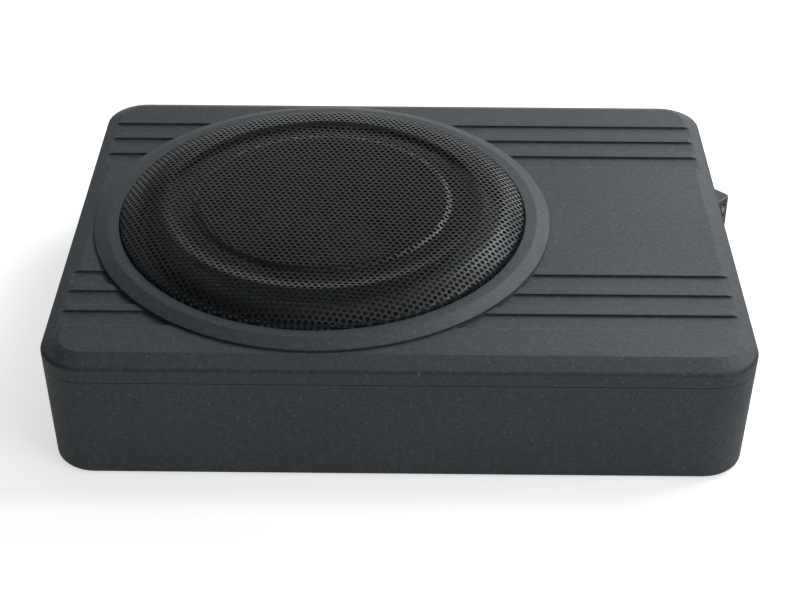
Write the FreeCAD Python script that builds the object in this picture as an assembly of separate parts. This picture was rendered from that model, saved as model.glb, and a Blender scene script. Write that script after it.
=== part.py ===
"""Powered car subwoofer for fitting under a seat, as an assembly of separate parts.

Millimetres.  The origin is the middle of the four bracket holes and of the case's footprint, on
the plane that the rubber feet and the inserts' collars stand on.  +X runs along the long side
towards the control panel, +Y towards the back and +Z up.  Each part is written to
parts/NAME.step.
"""
import FreeCAD
import Part
import math
import os

V = FreeCAD.Vector
X_AXIS = V(1, 0, 0)
Y_AXIS = V(0, 1, 0)
Z_AXIS = V(0, 0, 1)

# ---- case -----------------------------------------------------------------------------------
CASE_X = 345.0            # widest outline, at the rim
CASE_Y = 261.0
CORNER_R = 21.8
FOOT_STAND = 1.5          # how far the feet hold the case off the floor
CASE_H = 68.4             # base of the case to its top plane
BOTTOM_Z = FOOT_STAND
TOP_Z = BOTTOM_Z + CASE_H
BEVEL_IN = 9.3            # bevel round the top: inset and drop
BEVEL_DROP = 3.8
RIM_Z = TOP_Z - BEVEL_DROP
SEAM_Z = 58.2             # middle of the joint between lid and tray
SEAM_GAP = 0.3
LID_BOTTOM_Z = SEAM_Z + SEAM_GAP / 2
TRAY_TOP_Z = SEAM_Z - SEAM_GAP / 2
DRAFT = 1.5               # each side wall leans in by this much at the bottom
WALL = 3.0
DECK = 4.2                # thickness of the lid's top
DECK_UNDER_Z = TOP_Z - DECK
FLOOR_Z = BOTTOM_Z + WALL
EDGE_R = 0.9              # softened edge round the top plane
RIM_ROUND = 2.2           # softer edge where the bevel meets the skirt
BASE_EDGE_R = 2.0
SEAL_SETBACK = 1.0        # seal between lid and tray, behind the outer face

# ---- grooves across the lid -------------------------------------------------------------------
GROOVE_DEPTH = 1.1
GROOVE_WIDTH = 12.0
GROOVE_PITCH = 17.27
GROOVES_PER_GROUP = 3
FRONT_GROOVE_Y = -52.6    # tall wall of the first groove of each group
BACK_GROOVE_Y = 100.8

# ---- trim ring and grille, round the driver's axis --------------------------------------------
DRIVER_X = -41.5
RING_R = 120.2
RING_FLAT_R = 113.2       # where the outer chamfer meets the flat
RING_INNER_R = 106.8
RING_EDGE_H = 1.2
RING_H = 3.65
RING_EDGE_ROUND = 0.5      # rounding of the ring's outer edge
RING_FLAT_ROUND = 2.4      # rounding where the chamfer meets the flat
LID_PAD_R = 120.6         # plain round pad of the lid below the ring
GRILLE_R = 106.4
GRILLE_T = 0.6
GRILLE_FLANGE_R = 112.0
GRILLE_SHOULDER_Z = TOP_Z + 5.3
GRILLE_CREST_R = 83.5
GRILLE_CREST_Z = TOP_Z + 11.6
GRILLE_BAND_Z = TOP_Z + 10.7
DOME_BULGE = 0.95         # 0 for a straight slope from shoulder to crest, 1 for a full curve
DOME_STEPS = 8
GRILLE_DISC_R = 65.4
GRILLE_DISC_Z = TOP_Z + 12.0
POST_CIRCLE_R = 116.0
POST_R = 2.0
POST_COUNT = 6
POST_FIRST_DEG = 30.0
POST_REACH = 7.5          # length of a post below the lid's top plane
PUSH_NUT_R = 4.6
RING_CLEARANCE = 0.15     # ring over the grille's flange, and posts in their holes

# ---- driver -----------------------------------------------------------------------------------
CUTOUT_R = 98.0           # hole in the lid's deck over the cone
BASKET_FLANGE_R = 111.0
BASKET_FLANGE_T = 2.0
GASKET_T = 1.2
BASKET_TOP_Z = DECK_UNDER_Z - GASKET_T
SURROUND_OUT_R = 97.0
SURROUND_IN_R = 76.0
SURROUND_T = 1.0
CONE_T = 1.2
CONE_NECK_R = 27.0
CONE_NECK_Z = 45.0
COIL_FORMER_R = 25.2      # inner radius of the voice coil former
COIL_FORMER_T = 0.35
COIL_BOTTOM_Z = 20.5
WINDING_T = 0.7
WINDING_H = 13.0
POLE_R = 24.7
POLE_VENT_R = 5.0
YOKE_Z = 7.5
YOKE_T = 6.0
YOKE_R = 47.0
MAGNET_T = 13.0
MAGNET_IN_R = 30.0
MAGNET_R = 51.0
PLATE_T = 6.0
PLATE_IN_R = 27.0
PLATE_R = 47.0
YOKE_TOP_Z = YOKE_Z + YOKE_T
MAGNET_TOP_Z = YOKE_TOP_Z + MAGNET_T
PLATE_TOP_Z = MAGNET_TOP_Z + PLATE_T
SPIDER_Z = PLATE_TOP_Z + 8.0
SPIDER_R = 58.0
WOOFER_SCREW_COUNT = 8
WOOFER_SCREW_CIRCLE_R = 104.5
WOOFER_SCREW_FIRST_DEG = 11.25
WOOFER_SCREW_R = 1.45
WOOFER_SCREW_L = 6.0
BASKET_SPOKES = 6
STRIP_R = 93.5            # fibre strip with the driver's solder tags
STRIP_T = 1.6
TAG_L = 5.4
TAG_Z = (57.0, 57.8)
LEAD_Y = (-6.5, 6.5)
DUST_CAP_R = 34.0
DUST_CAP_RISE = 7.0
DUST_CAP_T = 0.8
SPIDER_WAVES = 5
SPIDER_WAVE_H = 1.3
SPIDER_T = 0.6
SPIDER_LIP = 4.0          # flat glue lip round the spider's rim

# ---- screws of the case, feet and bracket inserts ------------------------------------------------
CASE_SCREW_X = (-153.0, 66.0, 153.0)
CASE_SCREW_Y = 112.0
BOSS_R = 6.5
BOSS_WELL_R = 4.6
BOSS_SHELF_Z = 46.0
CASE_SCREW_L = 17.0
CASE_SCREW_R = 1.7
CASE_SCREW_HEAD_R = 3.9
CASE_SCREW_HOLE_R = 2.3
FOOT_X = 128.0
FOOT_Y = 106.0
FOOT_R = 9.0
FOOT_POCKET = 1.2
FOOT_EDGE_R = 0.7
INSERT_X = 145.0
INSERT_Y = 62.0
INSERT_HOLE_R = 2.1       # M5 thread, minor radius
INSERT_R = 3.6
INSERT_COLLAR_R = 5.4
INSERT_L = 9.0
INSERT_BOSS_R = 6.0

# ---- control panel at the +X end -----------------------------------------------------------------
WINDOW_Y = (-88.0, 88.0)
WINDOW_Z = (12.0, 54.0)
LEDGE_X = 163.5
LEDGE_T = 5.0
LEDGE_W = 6.0
PANEL_T = 2.0
PANEL_X = LEDGE_X + PANEL_T
PANEL_GAP = 0.6
PANEL_SCREW_INSET = 3.2
PANEL_SCREW_R = 1.3
PANEL_SCREW_L = 6.5
PANEL_SCREW_HEAD_R = 2.6
BEHIND_PANEL = 0.3        # gap between the panel and the bodies behind it
CONTROL_BOARD_X = 146.4
BOARD_T = 1.6
BOARD_FRONT_X = CONTROL_BOARD_X + BOARD_T + 0.05   # seat of the pieces on the control board
KNOB_Z = 33.0
KNOB_Y = {"gain": -30.0, "crossover": -9.0, "boost": 12.0}
KNOB_R = 6.2
KNOB_L = 8.0
KNOB_STANDOFF = 0.6       # gap between the panel's face and a knob
KNOB_FLUTES = 18
FLUTE_R = 0.7
SHAFT_R = 3.0
POT_BODY = (9.0, 11.0, 12.0)
SWITCH_Y = 29.0
SWITCH_HALF_W = 9.0
SWITCH_Z = (36.5, 45.5)
LEVER_PROUD = 3.2         # lever beyond the panel's face
LEVER_TRAVEL = 4.4
LEVER_W = 5.6
LEVER_Z = (39.1, 42.9)
RCA_Y = -74.0
RCA_Z = (23.5, 42.5)
RCA_R = 4.15
RCA_L = 9.0
RCA_BORE_R = 3.45
HIGH_LEVEL_Y = -54.0
HIGH_LEVEL_HALF = (8.0, 5.5)
HIGH_LEVEL_WALL = 1.2
PIN_COUNT = 4
PIN_PITCH = 3.0
PIN_HALF = 0.5
REMOTE_Y = 29.0
REMOTE_HALF_W = 6.0
REMOTE_Z = (19.0, 30.0)
CUTOUT_GAP = 0.3          # panel openings round the connectors
LED_Y = -9.0
LED_Z = 45.0
PLUG_Y = 59.0
PLUG_Z = (30.5, 49.5)
PLUG_TIP_X = 184.5
HEADER_HALF_W = 13.0
HEADER_Z = (PLUG_Z[0], PLUG_Z[1] - 1.5)
PLUG_HALF_W = 15.0
PLUG_NOSE = 1.0
PLUG_FLAT = 5.0           # length of the hood before its faces slope
PLUG_HOLE_SHARE = 0.83     # where the wire holes sit along a sloping face, towards the tip
PLUG_HOLE_Z = (38.2, 45.2)
PLUG_HOLE_R = 1.35
PLUG_HOLE_DEPTH = 3.5
PLUG_SCREW_DROP = 3.1      # clamp screw's centre below its wire hole
PLUG_SCREW_R = 1.15
FUSE_Z = 23.2
FUSE_HOLDER_HALF = (11.0, 4.0)
FUSE_HALF = (9.4, 2.4)
FUSE_L = 8.5
FUSE_PROUD = 4.0          # fuse beyond the panel's face
BLADE_L = 2.8
BLADE_T = 0.8
BLADE_Y = (3.0, 8.2)      # each blade's edges from the fuse's middle

# ---- amplifier -------------------------------------------------------------------------------------
AMP_X = (74.0, 138.0)
AMP_Y = (-98.0, 98.0)
AMP_Z = 14.0
BOARD_TOP_Z = AMP_Z + BOARD_T
PART_SEAT_Z = BOARD_TOP_Z + 0.05
BOARD_HOLE_R = 1.7
STANDOFF_R = 3.2          # across the corners of the hexagon
HEAT_BAR_GAP = 4.5        # between the bar and the main board
HEAT_BAR_T = 8.0
HEAT_BAR_H = 30.0
HEAT_BAR_SCREW_IN = 4.0   # bar screws from the ends of the bar
TRANSISTOR_COUNT = 4
TRANSISTOR_PITCH = 13.3
TRANSFORMER_X = 106.0
TRANSFORMER_Y = 52.0
CORE_R = 17.0
CORE_IN_R = 9.0
CORE_Z = (17.6, 32.6)
TURN_COUNT = 30
WIRE_HALF = 0.62
CAN_X = (88.0, 106.0, 124.0)
CAN_Y = (-66.0, -46.0)
CAN_R = 8.0
CAN_H = 30.0
INDUCTOR_X = 104.0
INDUCTOR_Y = -14.0
INDUCTOR_R = 11.0
INDUCTOR_TURNS = 8
RIBBON_Y = (-24.0, -4.0)
RIBBON_T = 0.9
RIBBON_DROP_X = 133.0
RIBBON_TOP_Z = 30.9


# ---- small builders ---------------------------------------------------------------------------------
def box(x, y, z):
    """Block from (low, high) pairs on each axis."""
    return Part.makeBox(x[1] - x[0], y[1] - y[0], z[1] - z[0], V(x[0], y[0], z[0]))


def rod(x, y, z0, z1, r):
    """Upright cylinder."""
    return Part.makeCylinder(r, z1 - z0, V(x, y, z0), Z_AXIS)


def tube(x, y, z0, z1, r_out, r_in):
    """Upright tube."""
    return rod(x, y, z0, z1, r_out).cut(rod(x, y, z0 - 1, z1 + 1, r_in))


def rod_x(x0, x1, y, z, r):
    """Cylinder along X."""
    return Part.makeCylinder(r, x1 - x0, V(x0, y, z), X_AXIS)


def rounded_wire(width, depth, radius, z):
    """Rounded rectangle centred on the Z axis."""
    a = width / 2 - radius
    b = depth / 2 - radius
    bulge = radius * math.sqrt(0.5)
    edges = []
    for sx, sy, start in ((1, 1, 0), (-1, 1, 1), (-1, -1, 0), (1, -1, 1)):
        on_x = V(sx * (a + radius), sy * b, z)
        on_y = V(sx * a, sy * (b + radius), z)
        mid = V(sx * (a + bulge), sy * (b + bulge), z)
        ends = (on_x, on_y) if start == 0 else (on_y, on_x)
        edges.append(Part.Arc(ends[0], mid, ends[1]).toShape())
    outline = []
    for i, arc in enumerate(edges):
        following = edges[(i + 1) % 4]
        outline.append(arc)
        outline.append(Part.makeLine(arc.lastVertex(True).Point, following.firstVertex(True).Point))
    return Part.Wire(outline)


def turned(points, x=DRIVER_X, y=0.0):
    """Solid turned about an upright axis from (radius, height) points."""
    corners = [V(x + r, y, z) for r, z in points]
    face = Part.Face(Part.makePolygon(corners + corners[:1]))
    return face.revolve(V(x, y, 0), Z_AXIS, 360)


def on_circle(count, radius, offset_deg=0.0, x=DRIVER_X, y=0.0):
    """Evenly spaced (x, y) points round the driver's axis."""
    for i in range(count):
        a = math.radians(offset_deg + 360.0 * i / count)
        yield x + radius * math.cos(a), y + radius * math.sin(a)


def fused(shapes):
    """One shape from several that touch."""
    shapes = list(shapes)
    return shapes[0].multiFuse(shapes[1:]).removeSplitter()


def group(shapes):
    """Several separate solids as one shape."""
    return Part.makeCompound(list(shapes))


def softened(shape, radius, pick):
    """Fillet the edges that pick accepts."""
    edges = [e for e in shape.Edges if pick(e)]
    return shape.makeFillet(radius, edges)


def is_level_at(edge, z):
    """True for an edge that lies flat at this height."""
    return edge.BoundBox.ZLength < 0.01 and abs(edge.BoundBox.ZMin - z) < 0.01


def is_circle_at(edge, radius, z):
    """True for a flat circular edge of this radius at this height."""
    return is_level_at(edge, z) and abs(edge.BoundBox.XLength / 2 - radius) < 0.01


def swept_rod(points, radius, bend):
    """Round wire along a polyline with rounded bends."""
    edges = []
    start = V(*points[0])
    for i in range(1, len(points) - 1):
        corner = V(*points[i])
        before = (V(*points[i - 1]) - corner).normalize()
        after = (V(*points[i + 1]) - corner).normalize()
        half = before.getAngle(after) / 2
        reach = bend / math.tan(half)
        middle = corner + (before + after).normalize() * (bend / math.sin(half) - bend)
        arc_start = corner + before * reach
        arc_end = corner + after * reach
        edges.append(Part.makeLine(start, arc_start))
        edges.append(Part.Arc(arc_start, middle, arc_end).toShape())
        start = arc_end
    edges.append(Part.makeLine(start, V(*points[-1])))
    path = Part.Wire(edges)
    direction = V(*points[1]) - V(*points[0])
    section = Part.Wire(Part.makeCircle(radius, V(*points[0]), direction))
    return path.makePipeShell([section], True, True)


def pan_screw(x, y, z, length, head_r, shank_r, down=True):
    """Pan-head screw: z is the seat of the head, the shank runs down (or up)."""
    sign = 1 if down else -1
    head_h = head_r * 0.62
    head = [(0, 0), (head_r, 0), (head_r, head_h * 0.45), (head_r * 0.8, head_h), (0, head_h)]
    body = turned([(r, z + sign * h) for r, h in head], x, y)
    shank = rod(x, y, min(z, z - sign * length), max(z, z - sign * length), shank_r)
    slot_from = z + sign * head_h * 0.35
    slot_to = z + sign * (head_h + 1)
    cross = []
    for dx, dy in ((head_r * 0.55, head_r * 0.13), (head_r * 0.13, head_r * 0.55)):
        cross.append(box((x - dx, x + dx), (y - dy, y + dy), sorted((slot_from, slot_to))))
    return fused([body, shank]).cut(fused(cross))


def panel_screw(x, y, z, length, head_r, shank_r):
    """Pan-head screw along X, its head facing +X with its seat at x."""
    screw = pan_screw(0, 0, 0, length, head_r, shank_r)
    screw.rotate(V(0, 0, 0), Y_AXIS, 90)
    screw.translate(V(x, y, z))
    return screw


# ---- case ---------------------------------------------------------------------------------------
def side_lean(z):
    """How far the side wall leans in at height z."""
    return DRAFT * (RIM_Z - z) / (RIM_Z - BOTTOM_Z)


def case_block(z0, z1, inset):
    """Slice of the case's outer form, inset from the walls."""
    low = side_lean(z0) + inset
    high = side_lean(z1) + inset
    wires = []
    for z, step in ((z0, low), (z1, high)):
        wires.append(rounded_wire(CASE_X - 2 * step, CASE_Y - 2 * step, CORNER_R - inset, z))
    return Part.makeLoft(wires, True, True)


def lid_form():
    """Outer form of the lid: a short skirt and a bevel all round the top plane."""
    skirt = case_block(LID_BOTTOM_Z, RIM_Z, 0)
    low = rounded_wire(CASE_X, CASE_Y, CORNER_R, RIM_Z)
    high = rounded_wire(CASE_X - 2 * BEVEL_IN, CASE_Y - 2 * BEVEL_IN, CORNER_R - BEVEL_IN, TOP_Z)
    bevel = Part.makeLoft([low, high], True, True)
    return fused([skirt, bevel])


def grooves():
    """Flat-floored grooves across the lid, in a front and a back group."""
    floor_z = TOP_Z - GROOVE_DEPTH
    cuts = []
    for first_y in (FRONT_GROOVE_Y, BACK_GROOVE_Y):
        for i in range(GROOVES_PER_GROUP):
            wall_y = first_y - i * GROOVE_PITCH
            cuts.append(box((-CASE_X, CASE_X), (wall_y - GROOVE_WIDTH, wall_y), (floor_z, TOP_Z + 5)))
    pad = rod(DRIVER_X, 0, floor_z - 1, TOP_Z + 6, LID_PAD_R)
    return group(cuts).cut(pad)


def case_screw_places():
    for x in CASE_SCREW_X:
        for y in (-CASE_SCREW_Y, CASE_SCREW_Y):
            yield x, y


def corner_places(x, y):
    """The four places at plus and minus x and y."""
    for sx in (-1, 1):
        for sy in (-1, 1):
            yield sx * x, sy * y


def post_places():
    return on_circle(POST_COUNT, POST_CIRCLE_R, POST_FIRST_DEG)


def woofer_screw_places():
    return on_circle(WOOFER_SCREW_COUNT, WOOFER_SCREW_CIRCLE_R, WOOFER_SCREW_FIRST_DEG)


def top_shell():
    lid = softened(lid_form(), RIM_ROUND, lambda e: is_level_at(e, RIM_Z))
    lid = softened(lid, EDGE_R, lambda e: is_level_at(e, TOP_Z))
    hollow = case_block(LID_BOTTOM_Z - 1, DECK_UNDER_Z, WALL)
    lid = lid.cut(hollow).cut(grooves())
    lid = lid.cut(rod(DRIVER_X, 0, 0, 100, CUTOUT_R))
    bosses = []
    for x, y in case_screw_places():
        boss = rod(x, y, LID_BOTTOM_Z, DECK_UNDER_Z + 0.5, BOSS_R)
        bosses.append(boss.cut(rod(x, y, 0, DECK_UNDER_Z - 1, CASE_SCREW_R + 0.1)))
    lid = fused([lid] + bosses)
    for x, y in post_places():
        lid = lid.cut(rod(x, y, 0, 100, POST_R + RING_CLEARANCE))
    for x, y in woofer_screw_places():
        lid = lid.cut(rod(x, y, 0, TOP_Z - 1.0, WOOFER_SCREW_R + 0.1))
    return lid


def tray_bosses():
    solids = []
    for x, y in case_screw_places():
        solids.append(rod(x, y, FLOOR_Z - 1, TRAY_TOP_Z, BOSS_R))
    for x, y in corner_places(INSERT_X, INSERT_Y):
        solids.append(rod(x, y, FLOOR_Z - 1, BOTTOM_Z + INSERT_L + 1.5, INSERT_BOSS_R))
    return solids


def window_frame():
    """Deep surround of the control panel window, with a ledge for the panel."""
    y = (WINDOW_Y[0] - 3, WINDOW_Y[1] + 3)
    return box((LEDGE_X - LEDGE_T, CASE_X / 2 - WALL), y, (FLOOR_Z - 1, WINDOW_Z[1] + 2.7))


def base_tray():
    tray = case_block(BOTTOM_Z, TRAY_TOP_Z, 0)
    bottom_edges = [e for e in tray.Edges if e.BoundBox.ZMax < BOTTOM_Z + 0.01]
    tray = tray.makeFillet(BASE_EDGE_R, bottom_edges)
    tray = tray.cut(case_block(FLOOR_Z, TRAY_TOP_Z + 1, WALL))
    tray = fused([tray, window_frame()] + tray_bosses())
    tray = tray.cut(box((LEDGE_X, CASE_X), WINDOW_Y, WINDOW_Z))
    inner_y = (WINDOW_Y[0] + LEDGE_W, WINDOW_Y[1] - LEDGE_W)
    inner_z = (WINDOW_Z[0] + LEDGE_W, WINDOW_Z[1] - LEDGE_W)
    tray = tray.cut(box((100, CASE_X), inner_y, inner_z))
    cuts = []
    for x, y in case_screw_places():
        cuts.append(rod(x, y, 0, BOSS_SHELF_Z, BOSS_WELL_R))
        cuts.append(rod(x, y, 0, CASE_H, CASE_SCREW_HOLE_R))
    for x, y in corner_places(INSERT_X, INSERT_Y):
        cuts.append(rod(x, y, 0, BOTTOM_Z + INSERT_L, INSERT_R + 0.1))
    for x, y in corner_places(FOOT_X, FOOT_Y):
        cuts.append(rod(x, y, 0, BOTTOM_Z + FOOT_POCKET, FOOT_R + 0.3))
    for x, y in board_posts():
        cuts.append(rod(x, y, FLOOR_Z - 1.8, FLOOR_Z + 1, 1.6))
    for y, z in panel_screw_places():
        cuts.append(rod_x(LEDGE_X - LEDGE_T - 1, LEDGE_X + 1, y, z, PANEL_SCREW_R + 0.05))
    return tray.cut(group(cuts))


def seam_gasket():
    """Flat seal between lid and tray, set back from the outer face."""
    outer = case_block(TRAY_TOP_Z, LID_BOTTOM_Z, SEAL_SETBACK)
    return outer.cut(case_block(TRAY_TOP_Z - 1, LID_BOTTOM_Z + 1, WALL - 0.2))


def case_screws():
    screws = []
    z = BOSS_SHELF_Z
    for x, y in case_screw_places():
        screws.append(pan_screw(x, y, z, CASE_SCREW_L, CASE_SCREW_HEAD_R, CASE_SCREW_R, down=False))
    return group(screws)


def feet():
    solids = []
    for x, y in corner_places(FOOT_X, FOOT_Y):
        foot = rod(x, y, 0, BOTTOM_Z + FOOT_POCKET, FOOT_R)
        solids.append(softened(foot, FOOT_EDGE_R, lambda e: e.BoundBox.ZMax < 0.01))
    return group(solids)


def bracket_inserts():
    """Threaded brass inserts in the floor for seat-rail brackets.

    Each has a collar as tall as the feet, so that a bracket or a flat plate bolted to the
    inserts does not crush the rubber.
    """
    solids = []
    for x, y in corner_places(INSERT_X, INSERT_Y):
        body = tube(x, y, 0, BOTTOM_Z + INSERT_L - 0.4, INSERT_R, INSERT_HOLE_R)
        collar = tube(x, y, 0, BOTTOM_Z, INSERT_COLLAR_R, INSERT_R - 0.5)
        solids.append(fused([body, collar]))
    return group(solids)


# ---- ring and grille ------------------------------------------------------------------------------
def trim_ring():
    """Chamfered ring that clamps the grille, held by posts through the lid's deck."""
    section = [
        (GRILLE_FLANGE_R + 0.4, TOP_Z),
        (RING_R, TOP_Z),
        (RING_R, TOP_Z + RING_EDGE_H),
        (RING_FLAT_R, TOP_Z + RING_H - 0.1),
        (RING_INNER_R + 0.6, TOP_Z + RING_H),
        (RING_INNER_R, TOP_Z + RING_H - 0.6),
        (RING_INNER_R, TOP_Z + GRILLE_T + RING_CLEARANCE),
        (GRILLE_FLANGE_R + 0.4, TOP_Z + GRILLE_T + RING_CLEARANCE),
    ]
    ring = turned(section)
    edge_z = TOP_Z + RING_EDGE_H
    flat_z = TOP_Z + RING_H - 0.1
    ring = softened(ring, RING_EDGE_ROUND, lambda e: is_circle_at(e, RING_R, edge_z))
    ring = softened(ring, RING_FLAT_ROUND, lambda e: is_circle_at(e, RING_FLAT_R, flat_z))
    posts = [rod(x, y, TOP_Z - POST_REACH, TOP_Z + 0.5, POST_R) for x, y in post_places()]
    return fused([ring] + posts)


def ring_push_nuts():
    """Domed spring washers pushed onto the ring's posts from below the deck."""
    solids = []
    z = DECK_UNDER_Z - 0.02
    bore = POST_R + 0.02
    section = [(bore, z - 1.6), (PUSH_NUT_R, z - 0.5), (PUSH_NUT_R, z), (bore, z - 1.1)]
    for x, y in post_places():
        solids.append(turned(section, x, y))
    return group(solids)


def grille_mesh():
    """Pressed grille: flange, skirt, domed outer band, round crest and a raised middle disc."""
    t = GRILLE_T
    flange_z = TOP_Z + 0.05
    shoulder_r = GRILLE_R - 1.0
    top = [
        (GRILLE_FLANGE_R, flange_z + t),
        (GRILLE_R, flange_z + t),
        (GRILLE_R, GRILLE_SHOULDER_Z - 0.6),
        (shoulder_r, GRILLE_SHOULDER_Z + 0.5),
    ]
    band = shoulder_r - GRILLE_CREST_R
    rise = GRILLE_CREST_Z - GRILLE_SHOULDER_Z - 0.5
    for i in range(1, DOME_STEPS + 1):
        a = 0.5 * math.pi * i / DOME_STEPS
        share = 1 - (1 - DOME_BULGE) * (1 - i / DOME_STEPS) - DOME_BULGE * (1 - math.sin(a))
        top.append((shoulder_r - band * i / DOME_STEPS, GRILLE_SHOULDER_Z + 0.5 + rise * share))
    top += [
        (GRILLE_CREST_R - 3.0, GRILLE_BAND_Z + 0.2),
        (GRILLE_CREST_R - 5.0, GRILLE_BAND_Z),
        (GRILLE_DISC_R + 1.4, GRILLE_BAND_Z),
        (GRILLE_DISC_R, GRILLE_DISC_Z),
        (0, GRILLE_DISC_Z),
    ]
    under = [(0, GRILLE_DISC_Z - t)]
    under += [(r - 0.3 * t, z - t) for r, z in top[-2:3:-1]]
    under.append((shoulder_r - 0.5 * t, GRILLE_SHOULDER_Z + 0.5 - t))
    under.append((GRILLE_R - t, GRILLE_SHOULDER_Z - 0.6 - 0.5 * t))
    under.append((GRILLE_R - t, flange_z))
    under.append((GRILLE_FLANGE_R, flange_z))
    return turned(top + under)


# ---- driver ---------------------------------------------------------------------------------------
def woofer_basket():
    """Pressed frame: flange, six open spokes, spider shelf and a floor on the front plate."""
    top = BASKET_TOP_Z
    t = BASKET_FLANGE_T
    seat = PLATE_TOP_Z
    section = [
        (BASKET_FLANGE_R, top),
        (BASKET_FLANGE_R, top - t),
        (SURROUND_OUT_R - 1.5, top - t),
        (SPIDER_R + 9.0, SPIDER_Z - 1.0),
        (SPIDER_R + 2.0, SPIDER_Z - 3.0),
        (SPIDER_R - 6.0, SPIDER_Z - 3.0),
        (46.0, seat),
        (PLATE_IN_R + 6, seat),
        (PLATE_IN_R + 6, seat + t),
        (45.0, seat + t),
        (SPIDER_R - 4.5, SPIDER_Z - 1.0),
        (SPIDER_R + 1.4, SPIDER_Z - 1.0),
        (SPIDER_R + 7.8, SPIDER_Z + 1.0),
        (SURROUND_OUT_R - 3.0, top),
    ]
    frame = turned(section)
    openings = []
    for i in range(BASKET_SPOKES):
        window = box((68, SURROUND_OUT_R - 8), (-26, 26), (SPIDER_Z, top - t - 0.5))
        window.rotate(V(0, 0, 0), Z_AXIS, 360.0 / BASKET_SPOKES * i)
        window.translate(V(DRIVER_X, 0, 0))
        openings.append(window)
    holes = []
    for x, y in woofer_screw_places():
        holes.append(rod(x, y, top - t - 1, top + 1, 2.2))
    return frame.cut(group(openings)).cut(group(holes))


def woofer_gasket():
    z = (BASKET_TOP_Z, DECK_UNDER_Z)
    ring = tube(DRIVER_X, 0, z[0], z[1], BASKET_FLANGE_R - 0.5, CUTOUT_R + 1.0)
    holes = [rod(x, y, z[0] - 1, z[1] + 1, 2.4) for x, y in woofer_screw_places()]
    return ring.cut(group(holes))


def woofer_screws():
    z = BASKET_TOP_Z - BASKET_FLANGE_T
    screws = []
    for x, y in woofer_screw_places():
        screws.append(pan_screw(x, y, z, WOOFER_SCREW_L, 2.5 * WOOFER_SCREW_R, WOOFER_SCREW_R, down=False))
    return group(screws)


def surround():
    """Half-roll rubber edge, as one closed ring glued to flange and cone."""
    z = BASKET_TOP_Z + 0.05
    mid = (SURROUND_IN_R + SURROUND_OUT_R - 5.0) / 2 + 1.0
    roll = (SURROUND_OUT_R - 5.0 - SURROUND_IN_R) / 2 - 1.5
    outer = [(SURROUND_OUT_R, z), (SURROUND_OUT_R, z + SURROUND_T)]
    steps = 12
    for i in range(steps + 1):
        a = math.pi * i / steps
        outer.append((mid + (roll + SURROUND_T) * math.cos(a), z + SURROUND_T + (roll) * math.sin(a)))
    outer.append((SURROUND_IN_R - 1.5, z + SURROUND_T))
    outer.append((SURROUND_IN_R - 1.5, z))
    for i in range(steps + 1):
        a = math.pi - math.pi * i / steps
        outer.append((mid + roll * math.cos(a), z + (roll - 0.2) * math.sin(a)))
    return turned(outer)


def cone():
    """Stiff paper cone with a flat glue lip at its rim and a collar at its neck."""
    rim_z = BASKET_TOP_Z - 0.1
    r = SURROUND_IN_R + 2.5
    section = [
        (r, rim_z),
        (r - 4.5, rim_z),
        (CONE_NECK_R + 0.8, CONE_NECK_Z),
        (COIL_FORMER_R + COIL_FORMER_T + 0.05, CONE_NECK_Z - 0.5),
        (COIL_FORMER_R + COIL_FORMER_T + 0.05, CONE_NECK_Z - 2.5),
        (CONE_NECK_R + 1.0, CONE_NECK_Z - 2.5),
        (CONE_NECK_R + 3.0, CONE_NECK_Z - 0.4),
        (r - 3.6, rim_z - CONE_T),
        (r, rim_z - CONE_T),
    ]
    return turned(section)


def dust_cap():
    """Shallow dome glued to the cone over the voice coil."""
    crown_z = CONE_NECK_Z + 4.6 + DUST_CAP_RISE
    sphere_r = (DUST_CAP_R ** 2 + DUST_CAP_RISE ** 2) / (2 * DUST_CAP_RISE)
    inner_r = sphere_r - DUST_CAP_T
    outside = [(0, crown_z)]
    inside = [(0, crown_z - DUST_CAP_T)]
    steps = 8
    for i in range(1, steps + 1):
        a = math.asin(DUST_CAP_R / sphere_r) * i / steps
        drop = 1 - math.cos(a)
        outside.append((sphere_r * math.sin(a), crown_z - sphere_r * drop))
        inside.append((inner_r * math.sin(a), crown_z - DUST_CAP_T - inner_r * drop))
    return turned(outside + inside[::-1])


def spider():
    """Corrugated cloth disc that centres the voice coil."""
    inner_r = COIL_FORMER_R + COIL_FORMER_T + 0.1
    collar_r = inner_r + 3.0
    first_r = SPIDER_R - SPIDER_LIP
    steps = SPIDER_WAVES * 8
    top = [(SPIDER_R, SPIDER_Z), (first_r, SPIDER_Z)]
    for i in range(1, steps):
        r = first_r - (first_r - collar_r) * i / steps
        phase = 2 * math.pi * SPIDER_WAVES * i / steps
        top.append((r, SPIDER_Z + SPIDER_WAVE_H * math.sin(phase)))
    top.append((collar_r, SPIDER_Z))
    top.append((inner_r, SPIDER_Z))
    under = [(r, z - SPIDER_T) for r, z in reversed(top)]
    return turned(top + under)


def coil_former():
    return tube(DRIVER_X, 0, COIL_BOTTOM_Z, CONE_NECK_Z + 2.5, COIL_FORMER_R + COIL_FORMER_T, COIL_FORMER_R)


def coil_winding():
    inner = COIL_FORMER_R + COIL_FORMER_T + 0.02
    return tube(DRIVER_X, 0, COIL_BOTTOM_Z + 1.0, COIL_BOTTOM_Z + 1.0 + WINDING_H, inner + WINDING_T, inner)


def back_yoke():
    """T-shaped yoke: a round back plate and a vented pole."""
    section = [
        (POLE_VENT_R, YOKE_Z),
        (YOKE_R - 3.0, YOKE_Z),
        (YOKE_R, YOKE_Z + 2.0),
        (YOKE_R, YOKE_TOP_Z),
        (POLE_R, YOKE_TOP_Z),
        (POLE_R, PLATE_TOP_Z),
        (POLE_VENT_R + 2.0, PLATE_TOP_Z),
        (POLE_VENT_R, PLATE_TOP_Z - 2.0),
    ]
    return turned(section)


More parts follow.
